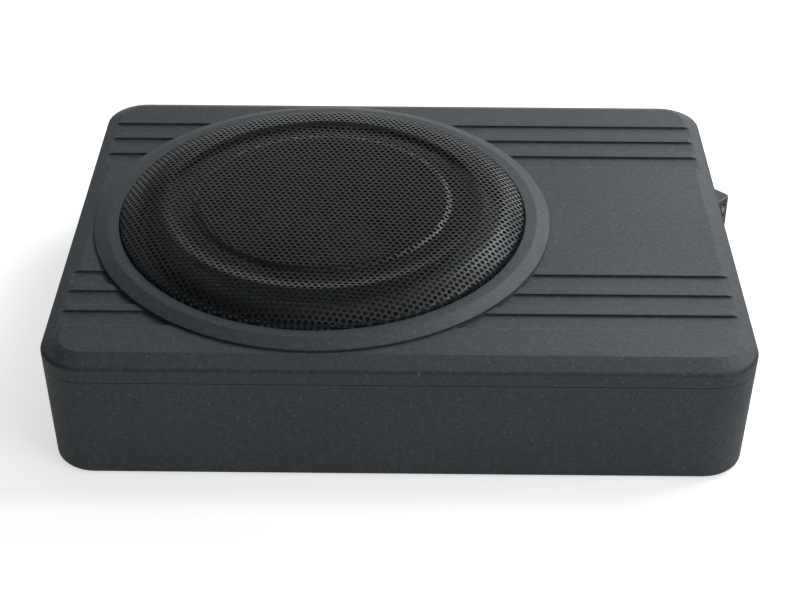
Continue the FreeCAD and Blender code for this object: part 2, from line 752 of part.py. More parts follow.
def magnet():
    ring = tube(DRIVER_X, 0, YOKE_TOP_Z, MAGNET_TOP_Z, MAGNET_R, MAGNET_IN_R)
    return softened(ring, 1.2, lambda e: e.Length > 2 * math.pi * (MAGNET_R - 1))


def front_plate():
    return tube(DRIVER_X, 0, MAGNET_TOP_Z, PLATE_TOP_Z, PLATE_R, PLATE_IN_R)


def terminal_strip():
    """Fibre strip with two solder tags, hung outside a window of the basket."""
    x = DRIVER_X + STRIP_R
    strip = box((x, x + STRIP_T), (-11, 11), (50.0, 60.3))
    tag_x = (x + STRIP_T, x + STRIP_T + TAG_L)
    tags = [box(tag_x, (y - 2.2, y + 2.2), TAG_Z) for y in LEAD_Y]
    return fused([strip] + tags)


def tinsel_leads():
    """Two braided leads from the terminal strip to the underside of the cone."""
    leads = []
    for y in LEAD_Y:
        a = (DRIVER_X + STRIP_R - 0.4, y, 54.0)
        b = (DRIVER_X + 70.0, y, 47.0)
        c = (DRIVER_X + 52.0, y, 51.6)
        leads.append(swept_rod([a, b, c], 0.7, 6.0))
    return group(leads)


def speaker_wires():
    """Pair of insulated wires from the amplifier board to the driver's tags."""
    wires = []
    for y in LEAD_Y:
        start = (DRIVER_X + STRIP_R + STRIP_T + TAG_L + 0.05, y, sum(TAG_Z) / 2)
        points = [start, (68.0, y, start[2]), (68.0, y, 30.0), (88.0, y, 30.0), (88.0, y, PART_SEAT_Z)]
        wires.append(swept_rod(points, 1.1, 4.0))
    return group(wires)


# ---- amplifier -----------------------------------------------------------------------------------
def board_posts():
    for x in (AMP_X[0] + 5.0, AMP_X[1] - 5.0):
        for y in (AMP_Y[0] + 6.0, 0.0, AMP_Y[1] - 6.0):
            yield x, y


def main_board():
    board = box(AMP_X, AMP_Y, (AMP_Z, BOARD_TOP_Z))
    return board.cut(group(rod(x, y, 0, 50, BOARD_HOLE_R) for x, y in board_posts()))


def board_standoffs():
    """Hexagonal brass pillars screwed into the tray's floor."""
    pillars = []
    for x, y in board_posts():
        corners = [V(px, py, FLOOR_Z + 0.02) for px, py in on_circle(6, STANDOFF_R, 0, x, y)]
        hexagon = Part.Face(Part.makePolygon(corners + corners[:1])).extrude(V(0, 0, AMP_Z - FLOOR_Z - 0.04))
        stud = rod(x, y, FLOOR_Z - 1.6, FLOOR_Z + 1, 1.5)
        pillars.append(fused([hexagon, stud]).cut(rod(x, y, AMP_Z - 5, AMP_Z + 1, 1.45)))
    return group(pillars)


def board_screws():
    return group(pan_screw(x, y, BOARD_TOP_Z + 0.02, 5.5, 2.8, 1.4) for x, y in board_posts())


def heat_bar_screw_places():
    y = AMP_Y[0] - HEAT_BAR_GAP - HEAT_BAR_T / 2
    for x in (AMP_X[0] + HEAT_BAR_SCREW_IN, AMP_X[1] - HEAT_BAR_SCREW_IN):
        yield x, y


def heat_bar():
    """Aluminium bar along the board's front edge that carries heat into the tray."""
    y = (AMP_Y[0] - HEAT_BAR_GAP - HEAT_BAR_T, AMP_Y[0] - HEAT_BAR_GAP)
    bar = box(AMP_X, y, (FLOOR_Z + 0.02, FLOOR_Z + HEAT_BAR_H))
    return bar.cut(group(rod(hx, hy, 0, 60, 1.8) for hx, hy in heat_bar_screw_places()))


def heat_bar_screws():
    z = FLOOR_Z + HEAT_BAR_H
    return group(pan_screw(x, y, z, 29.0, 3.2, 1.6) for x, y in heat_bar_screw_places())


def transistor_places():
    for i in range(TRANSISTOR_COUNT):
        yield AMP_X[0] + 12.0 + TRANSISTOR_PITCH * i


def power_transistors():
    """Flat power packages with their backs on the heat bar and legs down to the board."""
    back_y = AMP_Y[0] - HEAT_BAR_GAP + 0.05
    solids = []
    for x in transistor_places():
        body = box((x - 5, x + 5), (back_y, back_y + 4.4), (19.0, 28.0))
        tab = box((x - 5, x + 5), (back_y, back_y + 1.3), (28.0, 33.5))
        legs = []
        for dx in (-2.5, 0, 2.5):
            drop = box((x + dx - 0.4, x + dx + 0.4), (back_y + 2.2, back_y + 2.8), (17.0, 19.5))
            reach = box((x + dx - 0.4, x + dx + 0.4), (back_y + 2.2, back_y + 8.2), (17.0, 17.6))
            foot_z = (BOARD_TOP_Z + 0.02, 17.3)
            foot = box((x + dx - 0.4, x + dx + 0.4), (back_y + 7.6, back_y + 8.2), foot_z)
            legs += [drop, reach, foot]
        solids.append(fused([body, tab] + legs))
    return group(solids)


def transistor_clamp():
    """Spring steel strip that presses the packages onto the heat bar."""
    y = AMP_Y[0] + 0.05
    return box((AMP_X[0] + 4, AMP_X[1] - 4), (y, y + 1.0), (20.5, 27.0))


def transformer_core():
    core = tube(TRANSFORMER_X, TRANSFORMER_Y, CORE_Z[0], CORE_Z[1], CORE_R, CORE_IN_R)
    return softened(core, 1.0, lambda e: e.Length > 40)


def transformer_winding():
    """Rounded wire turns round the ring core."""
    inside_x = (CORE_IN_R - 0.1, CORE_R + 0.3)
    inside_z = (CORE_Z[0] - 0.2, CORE_Z[1] + 0.2)
    outside_x = (CORE_IN_R - 1.4, CORE_R + 1.6)
    outside_z = (CORE_Z[0] - 1.4, CORE_Z[1] + 1.4)
    turns = []
    for i in range(TURN_COUNT):
        loop = box(outside_x, (-WIRE_HALF, WIRE_HALF), outside_z).cut(box(inside_x, (-2, 2), inside_z))
        across = [e for e in loop.Edges if abs(e.BoundBox.YLength - 2 * WIRE_HALF) < 1e-6]
        ends = (outside_x[0] + 0.1, outside_x[1] - 0.1)
        corner = [e for e in across if e.BoundBox.XMin < ends[0] or e.BoundBox.XMax > ends[1]]
        loop = loop.makeFillet(1.1, corner)
        loop.rotate(V(0, 0, 0), Z_AXIS, 360.0 / TURN_COUNT * i)
        loop.translate(V(TRANSFORMER_X, TRANSFORMER_Y, 0))
        turns.append(loop)
    return group(turns)


def filter_capacitors():
    """Electrolytic cans with a rolled groove near the foot."""
    z = PART_SEAT_Z
    section = [
        (0, z),
        (CAN_R - 0.6, z),
        (CAN_R, z + 0.6),
        (CAN_R, z + 3.0),
        (CAN_R - 0.5, z + 3.8),
        (CAN_R, z + 4.6),
        (CAN_R, z + CAN_H - 0.6),
        (CAN_R - 0.6, z + CAN_H),
        (0, z + CAN_H),
    ]
    return group(turned(section, x, y) for x in CAN_X for y in CAN_Y)


def output_inductor():
    """Copper coil on a drum core for the output filter."""
    z = PART_SEAT_Z
    core_r = INDUCTOR_R - 1.4
    section = [(0, z), (INDUCTOR_R, z), (INDUCTOR_R, z + 2.2), (core_r, z + 3.0)]
    for i in range(INDUCTOR_TURNS):
        section.append((core_r + 0.6, z + 3.6 + 1.2 * i))
        section.append((core_r, z + 4.2 + 1.2 * i))
    section += [(INDUCTOR_R, z + 13.4), (INDUCTOR_R, z + 15.6), (0, z + 15.6)]
    return turned(section, INDUCTOR_X, INDUCTOR_Y)


# ---- control panel --------------------------------------------------------------------------------
def panel_screw_places():
    for y in (WINDOW_Y[0] + PANEL_SCREW_INSET, WINDOW_Y[1] - PANEL_SCREW_INSET):
        for z in (WINDOW_Z[0] + PANEL_SCREW_INSET, WINDOW_Z[1] - PANEL_SCREW_INSET):
            yield y, z


def panel_cutouts():
    """Openings in the panel, each a little larger than the piece that comes through."""
    x = (LEDGE_X - 5, PANEL_X + 5)
    cuts = [rod_x(x[0], x[1], y, KNOB_Z, SHAFT_R + 1.2) for y in KNOB_Y.values()]
    cuts += [rod_x(x[0], x[1], RCA_Y, z, RCA_R + 1.6) for z in RCA_Z]
    cuts.append(rod_x(x[0], x[1], LED_Y, LED_Z, 1.7))
    windows = [
        (SWITCH_Y, 5.7, (LEVER_Z[0] - 0.4, LEVER_Z[1] + 0.4)),
        (HIGH_LEVEL_Y, HIGH_LEVEL_HALF[0], (KNOB_Z - HIGH_LEVEL_HALF[1], KNOB_Z + HIGH_LEVEL_HALF[1])),
        (REMOTE_Y, REMOTE_HALF_W, REMOTE_Z),
        (PLUG_Y, HEADER_HALF_W, HEADER_Z),
        (PLUG_Y, FUSE_HOLDER_HALF[0], (FUSE_Z - FUSE_HOLDER_HALF[1], FUSE_Z + FUSE_HOLDER_HALF[1])),
    ]
    for y, half, z in windows:
        low_y = y - half - CUTOUT_GAP
        high_y = y + half + CUTOUT_GAP
        cuts.append(box(x, (low_y, high_y), (z[0] - CUTOUT_GAP, z[1] + CUTOUT_GAP)))
    return group(cuts)


def end_panel():
    y = (WINDOW_Y[0] + PANEL_GAP, WINDOW_Y[1] - PANEL_GAP)
    z = (WINDOW_Z[0] + PANEL_GAP, WINDOW_Z[1] - PANEL_GAP)
    panel = box((LEDGE_X, PANEL_X), y, z)
    holes = [rod_x(LEDGE_X - 1, PANEL_X + 1, sy, sz, 1.6) for sy, sz in panel_screw_places()]
    return panel.cut(group(holes)).cut(panel_cutouts())


def panel_screws():
    screws = []
    for y, z in panel_screw_places():
        screws.append(panel_screw(PANEL_X, y, z, PANEL_SCREW_L, PANEL_SCREW_HEAD_R, PANEL_SCREW_R))
    return group(screws)


def control_board():
    y = (WINDOW_Y[0] + LEDGE_W + 1, WINDOW_Y[1] - LEDGE_W - 1)
    return box((CONTROL_BOARD_X, CONTROL_BOARD_X + BOARD_T), y, (WINDOW_Z[0] + 4, WINDOW_Z[1] - 4))


def ribbon_cable():
    """Flat cable from the control board down to the main board."""
    upper_z = (RIBBON_TOP_Z - RIBBON_T, RIBBON_TOP_Z)
    upper = box((RIBBON_DROP_X, CONTROL_BOARD_X - 0.05), RIBBON_Y, upper_z)
    drop = box((RIBBON_DROP_X - RIBBON_T, RIBBON_DROP_X), RIBBON_Y, (PART_SEAT_Z, RIBBON_TOP_Z))
    bend_z = upper_z[0] + 0.8
    cable = fused([upper, drop])
    return softened(cable, 0.85, lambda e: e.BoundBox.ZMin > bend_z and e.BoundBox.XMax < RIBBON_DROP_X)


def potentiometers():
    """Bodies of the three rotary controls, with a threaded nose behind the panel."""
    solids = []
    x = BOARD_FRONT_X
    length, width, height = POT_BODY
    for y in KNOB_Y.values():
        body_z = (KNOB_Z - height / 2, KNOB_Z + height / 2)
        body = box((x, x + length), (y - width / 2, y + width / 2), body_z)
        nose = rod_x(x + length, LEDGE_X - BEHIND_PANEL, y, KNOB_Z, SHAFT_R + 0.9)
        bore = rod_x(x + 5.5, LEDGE_X + 1, y, KNOB_Z, SHAFT_R + 0.05)
        solids.append(fused([body, nose]).cut(bore))
    return group(solids)


def knob(y):
    """Fluted knob with a pointer groove on its face."""
    x0 = PANEL_X + KNOB_STANDOFF
    x1 = x0 + KNOB_L
    body = rod_x(x0, x1, y, KNOB_Z, KNOB_R)
    body = softened(body, 0.7, lambda e: e.BoundBox.XMin > x1 - 0.01)
    flutes = []
    for fy, fz in on_circle(KNOB_FLUTES, KNOB_R + FLUTE_R / 2, 0, y, KNOB_Z):
        flutes.append(rod_x(x0 + 1.6, x1 + 1, fy, fz, FLUTE_R))
    pointer = box((x1 - 0.6, x1 + 1), (y - 0.5, y + 0.5), (KNOB_Z + 1.5, KNOB_Z + KNOB_R + 1))
    bore = rod_x(x0 - 1, x1 - 2.0, y, KNOB_Z, SHAFT_R + 0.02)
    return body.cut(group(flutes)).cut(pointer).cut(bore)


def knob_shaft(y):
    """Steel control shaft from inside the potentiometer into the knob."""
    inner_x = BOARD_FRONT_X + 5.95
    return rod_x(inner_x, PANEL_X + KNOB_STANDOFF + KNOB_L - 2.1, y, KNOB_Z, SHAFT_R)


def phase_switch_body():
    """Slide switch housing: a steel box with a slot for the lever."""
    x = (BOARD_FRONT_X, LEDGE_X - BEHIND_PANEL)
    half = (LEVER_W + LEVER_TRAVEL) / 2 + 0.2
    body = box(x, (SWITCH_Y - SWITCH_HALF_W, SWITCH_Y + SWITCH_HALF_W), SWITCH_Z)
    slot = box((x[1] - 5.0, x[1] + 1), (SWITCH_Y - half, SWITCH_Y + half),
               (LEVER_Z[0] - 0.2, LEVER_Z[1] + 0.2))
    return body.cut(slot)


def phase_switch_lever():
    """Small square lever, at rest at the low-Y end of its slot."""
    y0 = SWITCH_Y - (LEVER_W + LEVER_TRAVEL) / 2
    tip_x = PANEL_X + LEVER_PROUD
    lever = box((LEDGE_X - 3.5, tip_x), (y0, y0 + LEVER_W), LEVER_Z)
    return softened(lever, 0.5, lambda e: e.BoundBox.XMin > tip_x - 0.1)


def rca_housing():
    """Moulded block that carries both signal jacks."""
    x = (BOARD_FRONT_X, LEDGE_X - BEHIND_PANEL)
    block = box(x, (RCA_Y - 6.5, RCA_Y + 7.0), (RCA_Z[0] - 4.9, RCA_Z[1] + 4.9))
    cuts = [rod_x(x[1] - 6.0, x[1] + 1, RCA_Y, z, RCA_R + 0.05) for z in RCA_Z]
    return block.cut(group(cuts))


def rca_barrels():
    """Outer shells of the signal jacks."""
    x0 = LEDGE_X - 6.2
    x1 = PANEL_X + RCA_L + 1.5
    solids = []
    for z in RCA_Z:
        shell = rod_x(x0, x1, RCA_Y, z, RCA_R).cut(rod_x(x0 + 1.0, x1 + 1, RCA_Y, z, RCA_BORE_R))
        collar = rod_x(PANEL_X + 0.1, PANEL_X + 1.4, RCA_Y, z, RCA_R + 1.2)
        solids.append(fused([shell, collar.cut(rod_x(x0, x1, RCA_Y, z, RCA_BORE_R + 0.15))]))
    return group(solids)


def rca_inserts():
    """Coloured insulators with the centre contact's socket."""
    x0 = LEDGE_X - 5.1
    x1 = PANEL_X + RCA_L
    solids = []
    for z in RCA_Z:
        plug = rod_x(x0, x1, RCA_Y, z, RCA_BORE_R - 0.05)
        solids.append(plug.cut(rod_x(x1 - 8.5, x1 + 1, RCA_Y, z, 1.65)))
    return group(solids)


def high_level_socket():
    """Nylon box header for the speaker-level input."""
    x = (BOARD_FRONT_X, PANEL_X + 2.0)
    half_y, half_z = HIGH_LEVEL_HALF
    body = box(x, (HIGH_LEVEL_Y - half_y, HIGH_LEVEL_Y + half_y), (KNOB_Z - half_z, KNOB_Z + half_z))
    half_y -= HIGH_LEVEL_WALL
    half_z -= HIGH_LEVEL_WALL
    mouth_y = (HIGH_LEVEL_Y - half_y, HIGH_LEVEL_Y + half_y)
    return body.cut(box((x[1] - 9.0, x[1] + 1), mouth_y, (KNOB_Z - half_z, KNOB_Z + half_z)))


def high_level_pins():
    x0 = PANEL_X - 6.95
    pins = []
    z = (KNOB_Z - PIN_HALF, KNOB_Z + PIN_HALF)
    for i in range(PIN_COUNT):
        y = HIGH_LEVEL_Y + PIN_PITCH * (i - (PIN_COUNT - 1) / 2)
        pins.append(box((x0, x0 + 6.5), (y - PIN_HALF, y + PIN_HALF), z))
    return group(pins)


def remote_socket():
    """Modular socket for the wired remote level control."""
    x = (BOARD_FRONT_X, PANEL_X + 0.8)
    body = box(x, (REMOTE_Y - REMOTE_HALF_W, REMOTE_Y + REMOTE_HALF_W), REMOTE_Z)
    mouth = box((x[1] - 10.0, x[1] + 1), (REMOTE_Y - 4.2, REMOTE_Y + 4.2), (20.4, 26.6))
    latch = box((x[1] - 10.0, x[1] + 1), (REMOTE_Y - 1.8, REMOTE_Y + 1.8), (26.0, 28.6))
    return body.cut(fused([mouth, latch]))


def led_lens():
    lens = rod_x(LEDGE_X - 4.0, PANEL_X + 0.8, LED_Y, LED_Z, 1.5)
    return softened(lens, 0.9, lambda e: e.BoundBox.XMin > PANEL_X + 0.7)


def power_header():
    """Fixed half of the power connector, on the control board."""
    x = (BOARD_FRONT_X, PANEL_X + 0.2)
    wall = 1.6
    body = box(x, (PLUG_Y - HEADER_HALF_W, PLUG_Y + HEADER_HALF_W), HEADER_Z)
    half = HEADER_HALF_W - wall
    mouth_z = (HEADER_Z[0] + wall, HEADER_Z[1] - wall)
    return body.cut(box((x[1] - 10.0, x[1] + 1), (PLUG_Y - half, PLUG_Y + half), mouth_z))


def plug_faces():
    """Line of the wire holes and outward direction, for each of the hood's sloping faces."""
    flat_x = PANEL_X + PLUG_FLAT
    hole_x = flat_x + PLUG_HOLE_SHARE * (PLUG_TIP_X - flat_x)
    hole_y = PLUG_HALF_W - PLUG_HOLE_SHARE * (PLUG_HALF_W - PLUG_NOSE)
    for side in (-1, 1):
        out = V(PLUG_HALF_W - PLUG_NOSE, side * (PLUG_TIP_X - flat_x), 0).normalize()
        yield V(hole_x, PLUG_Y + side * hole_y, 0), out


def power_plug():
    """Removable half of the power connector: a wedge-shaped hood over four wire clamps."""
    root_x = PANEL_X + 0.4
    flat_x = PANEL_X + PLUG_FLAT
    outline = [
        V(root_x, PLUG_Y - PLUG_HALF_W, PLUG_Z[0]),
        V(flat_x, PLUG_Y - PLUG_HALF_W, PLUG_Z[0]),
        V(PLUG_TIP_X, PLUG_Y - PLUG_NOSE, PLUG_Z[0]),
        V(PLUG_TIP_X, PLUG_Y + PLUG_NOSE, PLUG_Z[0]),
        V(flat_x, PLUG_Y + PLUG_HALF_W, PLUG_Z[0]),
        V(root_x, PLUG_Y + PLUG_HALF_W, PLUG_Z[0]),
    ]
    hood = Part.Face(Part.makePolygon(outline + outline[:1])).extrude(V(0, 0, PLUG_Z[1] - PLUG_Z[0]))
    hood = softened(hood, 1.2, lambda e: e.BoundBox.ZLength > 10 and e.BoundBox.XMin > PLUG_TIP_X - 0.1)
    hood = softened(hood, 0.5, lambda e: e.BoundBox.ZMin > PLUG_Z[1] - 0.01 and e.BoundBox.XMax > root_x + 1)
    tongue = box((root_x - 8.0, root_x + 1), (PLUG_Y - 11.0, PLUG_Y + 11.0),
                 (PLUG_Z[0] + 2.0, PLUG_Z[1] - 3.5))
    cuts = []
    for place, out in plug_faces():
        for z in PLUG_HOLE_Z:
            hole_start = place - out * PLUG_HOLE_DEPTH + Z_AXIS * z
            cuts.append(Part.makeCylinder(PLUG_HOLE_R, 9.0, hole_start, out))
            pocket_start = place - out * PLUG_HOLE_DEPTH + Z_AXIS * (z - PLUG_SCREW_DROP)
            cuts.append(Part.makeCylinder(PLUG_SCREW_R + 0.1, 9.0, pocket_start, out))
    return fused([hood, tongue]).cut(group(cuts))


def plug_clamps():
    """Plated clamp screws set in the sloping faces, one below each wire hole."""
    screws = []
    for place, out in plug_faces():
        turn = math.degrees(math.atan2(out.y, out.x))
        for z in PLUG_HOLE_Z:
            screw = rod_x(0.1 - PLUG_HOLE_DEPTH, -0.1, 0, 0, PLUG_SCREW_R)
            slot = box((-0.7, 1), (-2, 2), (-0.22, 0.22))
            screw = softened(screw, 0.3, lambda e: e.BoundBox.XMin > -0.11).cut(slot)
            screw.rotate(V(0, 0, 0), Z_AXIS, turn)
            screw.translate(place + Z_AXIS * (z - PLUG_SCREW_DROP))
            screws.append(screw)
    return group(screws)


def fuse_holder():
    """Open box on the control board that the fuse pushes into."""
    x = (BOARD_FRONT_X, PANEL_X + 0.8)
    half_y, half_z = FUSE_HOLDER_HALF
    body = box(x, (PLUG_Y - half_y, PLUG_Y + half_y), (FUSE_Z - half_z, FUSE_Z + half_z))
    half_y = FUSE_HALF[0] + 0.4
    half_z = FUSE_HALF[1] + 0.3
    mouth_y = (PLUG_Y - half_y, PLUG_Y + half_y)
    return body.cut(box((x[1] - 8.5, x[1] + 1), mouth_y, (FUSE_Z - half_z, FUSE_Z + half_z)))


def blade_fuse():
    """Plug-in fuse: a plastic grip with two short blades."""
    outer_x = PANEL_X + FUSE_PROUD
    inner_x = outer_x - FUSE_L
    half_y, half_z = FUSE_HALF
    grip = box((inner_x, outer_x), (PLUG_Y - half_y, PLUG_Y + half_y), (FUSE_Z - half_z, FUSE_Z + half_z))
    grip = softened(grip, 0.6, lambda e: e.BoundBox.XMin > outer_x - 0.01)
    blades = []
    for side in (-1, 1):
        y = sorted((PLUG_Y + side * BLADE_Y[0], PLUG_Y + side * BLADE_Y[1]))
        z = (FUSE_Z - BLADE_T / 2, FUSE_Z + BLADE_T / 2)
        blades.append(box((inner_x - BLADE_L, inner_x + 1), y, z))
    return fused([grip] + blades)


PARTS = {
    "top_shell": top_shell,
    "base_tray": base_tray,
    "seam_gasket": seam_gasket,
    "case_screws": case_screws,
    "rubber_feet": feet,
    "bracket_inserts": bracket_inserts,
    "trim_ring": trim_ring,
    "ring_push_nuts": ring_push_nuts,
    "grille_mesh": grille_mesh,
    "woofer_basket": woofer_basket,
    "woofer_gasket": woofer_gasket,
    "woofer_screws": woofer_screws,
    "surround": surround,
    "cone": cone,
    "dust_cap": dust_cap,
    "spider": spider,
    "coil_former": coil_former,
    "coil_winding": coil_winding,
    "back_yoke": back_yoke,
    "magnet": magnet,
    "front_plate": front_plate,
    "terminal_strip": terminal_strip,
    "tinsel_leads": tinsel_leads,
    "speaker_wires": speaker_wires,
    "main_board": main_board,
    "board_standoffs": board_standoffs,
    "board_screws": board_screws,
    "heat_bar": heat_bar,
    "heat_bar_screws": heat_bar_screws,
    "power_transistors": power_transistors,
    "transistor_clamp": transistor_clamp,
    "transformer_core": transformer_core,
    "transformer_winding": transformer_winding,
    "filter_capacitors": filter_capacitors,
    "output_inductor": output_inductor,
    "end_panel": end_panel,
    "panel_screws": panel_screws,
    "control_board": control_board,
    "ribbon_cable": ribbon_cable,
    "potentiometers": potentiometers,
    "gain_knob": lambda: knob(KNOB_Y["gain"]),
    "gain_shaft": lambda: knob_shaft(KNOB_Y["gain"]),
    "crossover_knob": lambda: knob(KNOB_Y["crossover"]),
    "crossover_shaft": lambda: knob_shaft(KNOB_Y["crossover"]),
    "boost_knob": lambda: knob(KNOB_Y["boost"]),
    "boost_shaft": lambda: knob_shaft(KNOB_Y["boost"]),
    "phase_switch_body": phase_switch_body,
    "phase_switch_lever": phase_switch_lever,
    "rca_housing": rca_housing,
    "rca_barrels": rca_barrels,
    "rca_inserts": rca_inserts,
    "high_level_socket": high_level_socket,
    "high_level_pins": high_level_pins,
    "remote_socket": remote_socket,
    "led_lens": led_lens,
    "power_header": power_header,
    "power_plug": power_plug,
    "plug_clamps": plug_clamps,
    "fuse_holder": fuse_holder,
    "blade_fuse": blade_fuse,
}


def main():
    os.makedirs("parts", exist_ok=True)
    for name, build in PARTS.items():
        shape = build()
        if not shape.isValid():
            print("not valid:", name)
        print(name, len(shape.Solids), round(shape.Volume / 1000, 2), "cm3")
        shape.exportStep("parts/" + name + ".step")


main()
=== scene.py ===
"""Looks of the powered car subwoofer: materials, the perforated grille, soft parts, studio and camera."""
import math

import bmesh
import bpy
from mathutils import Euler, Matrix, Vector


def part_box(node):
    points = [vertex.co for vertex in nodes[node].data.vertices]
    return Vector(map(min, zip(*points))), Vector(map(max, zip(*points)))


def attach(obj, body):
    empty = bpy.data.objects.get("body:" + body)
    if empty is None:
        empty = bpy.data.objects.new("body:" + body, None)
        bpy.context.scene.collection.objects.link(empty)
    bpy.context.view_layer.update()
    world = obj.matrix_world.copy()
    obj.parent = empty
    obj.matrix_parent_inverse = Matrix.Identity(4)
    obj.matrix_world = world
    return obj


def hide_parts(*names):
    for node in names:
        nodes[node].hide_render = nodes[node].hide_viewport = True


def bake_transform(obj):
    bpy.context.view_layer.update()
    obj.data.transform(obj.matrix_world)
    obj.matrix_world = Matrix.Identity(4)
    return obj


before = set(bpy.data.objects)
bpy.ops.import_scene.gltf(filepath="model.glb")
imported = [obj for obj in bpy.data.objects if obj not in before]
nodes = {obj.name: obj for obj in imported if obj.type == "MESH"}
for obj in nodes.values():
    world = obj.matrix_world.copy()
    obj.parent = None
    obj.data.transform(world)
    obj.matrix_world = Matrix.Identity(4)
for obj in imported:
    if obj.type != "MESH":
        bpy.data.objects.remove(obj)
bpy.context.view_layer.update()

MM = 0.001
scene = bpy.context.scene


def high(node):
    """Upper corner of a node's box."""
    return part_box(node)[1]


# ---- places worked out from the frame ------------------------------------------------------------
ring_low, ring_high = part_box("trim_ring")
DRIVER = Vector(((ring_low.x + ring_high.x) / 2, (ring_low.y + ring_high.y) / 2, 0))
TOP_Z = high("top_shell").z         # top face of the lid
GRILLE_TOP = high("grille_mesh").z


# ---- mesh helpers --------------------------------------------------------------------------------
WELD_GAP = 1e-7                     # vertices closer than this become one


def new_piece(name, bm, body="case", smooth_angle=35.0):
    """Turn a bmesh into a named piece that rides on a body."""
    bmesh.ops.recalc_face_normals(bm, faces=bm.faces)
    mesh = bpy.data.meshes.new(name)
    bm.to_mesh(mesh)
    bm.free()
    mesh.shade_smooth()
    mesh.set_sharp_from_angle(angle=math.radians(smooth_angle))
    piece = bpy.data.objects.new(name, mesh)
    scene.collection.objects.link(piece)
    if body:
        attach(piece, body)
    return piece


def finish_piece(piece, material, node):
    """Give a new piece its material, and hide the node it stands for, if any."""
    piece.data.materials.append(material)
    if node:
        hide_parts(node)


def lathe(bm, section, segments, centre, wobble=None):
    """Closed body turned round Z from a closed (radius, height) section."""
    rings = []
    for i in range(segments):
        a = 2 * math.pi * i / segments
        row = []
        for r, h in section:
            if wobble:
                r, h = wobble(a, r, h)
            place = (r * math.cos(a), r * math.sin(a), h)
            row.append(bm.verts.new(Vector(centre) + Vector(place)))
        rings.append(row)
    count = len(section)
    for i in range(segments):
        here, there = rings[i], rings[(i + 1) % segments]
        for k in range(count):
            m = (k + 1) % count
            bm.faces.new((here[k], there[k], there[m], here[m]))
    bmesh.ops.remove_doubles(bm, verts=bm.verts, dist=WELD_GAP)


def curve(a, b, c, t):
    """Place at t, from 0 to 1, on the curve from a to c that bends towards b."""
    return a * (1 - t) ** 2 + b * 2 * t * (1 - t) + c * t ** 2


# ---- material helpers ----------------------------------------------------------------------------
EDGE_GAIN = 6.0                     # how fast the edge mask rises with the turn of the surface
BEVEL_SAMPLES = 4


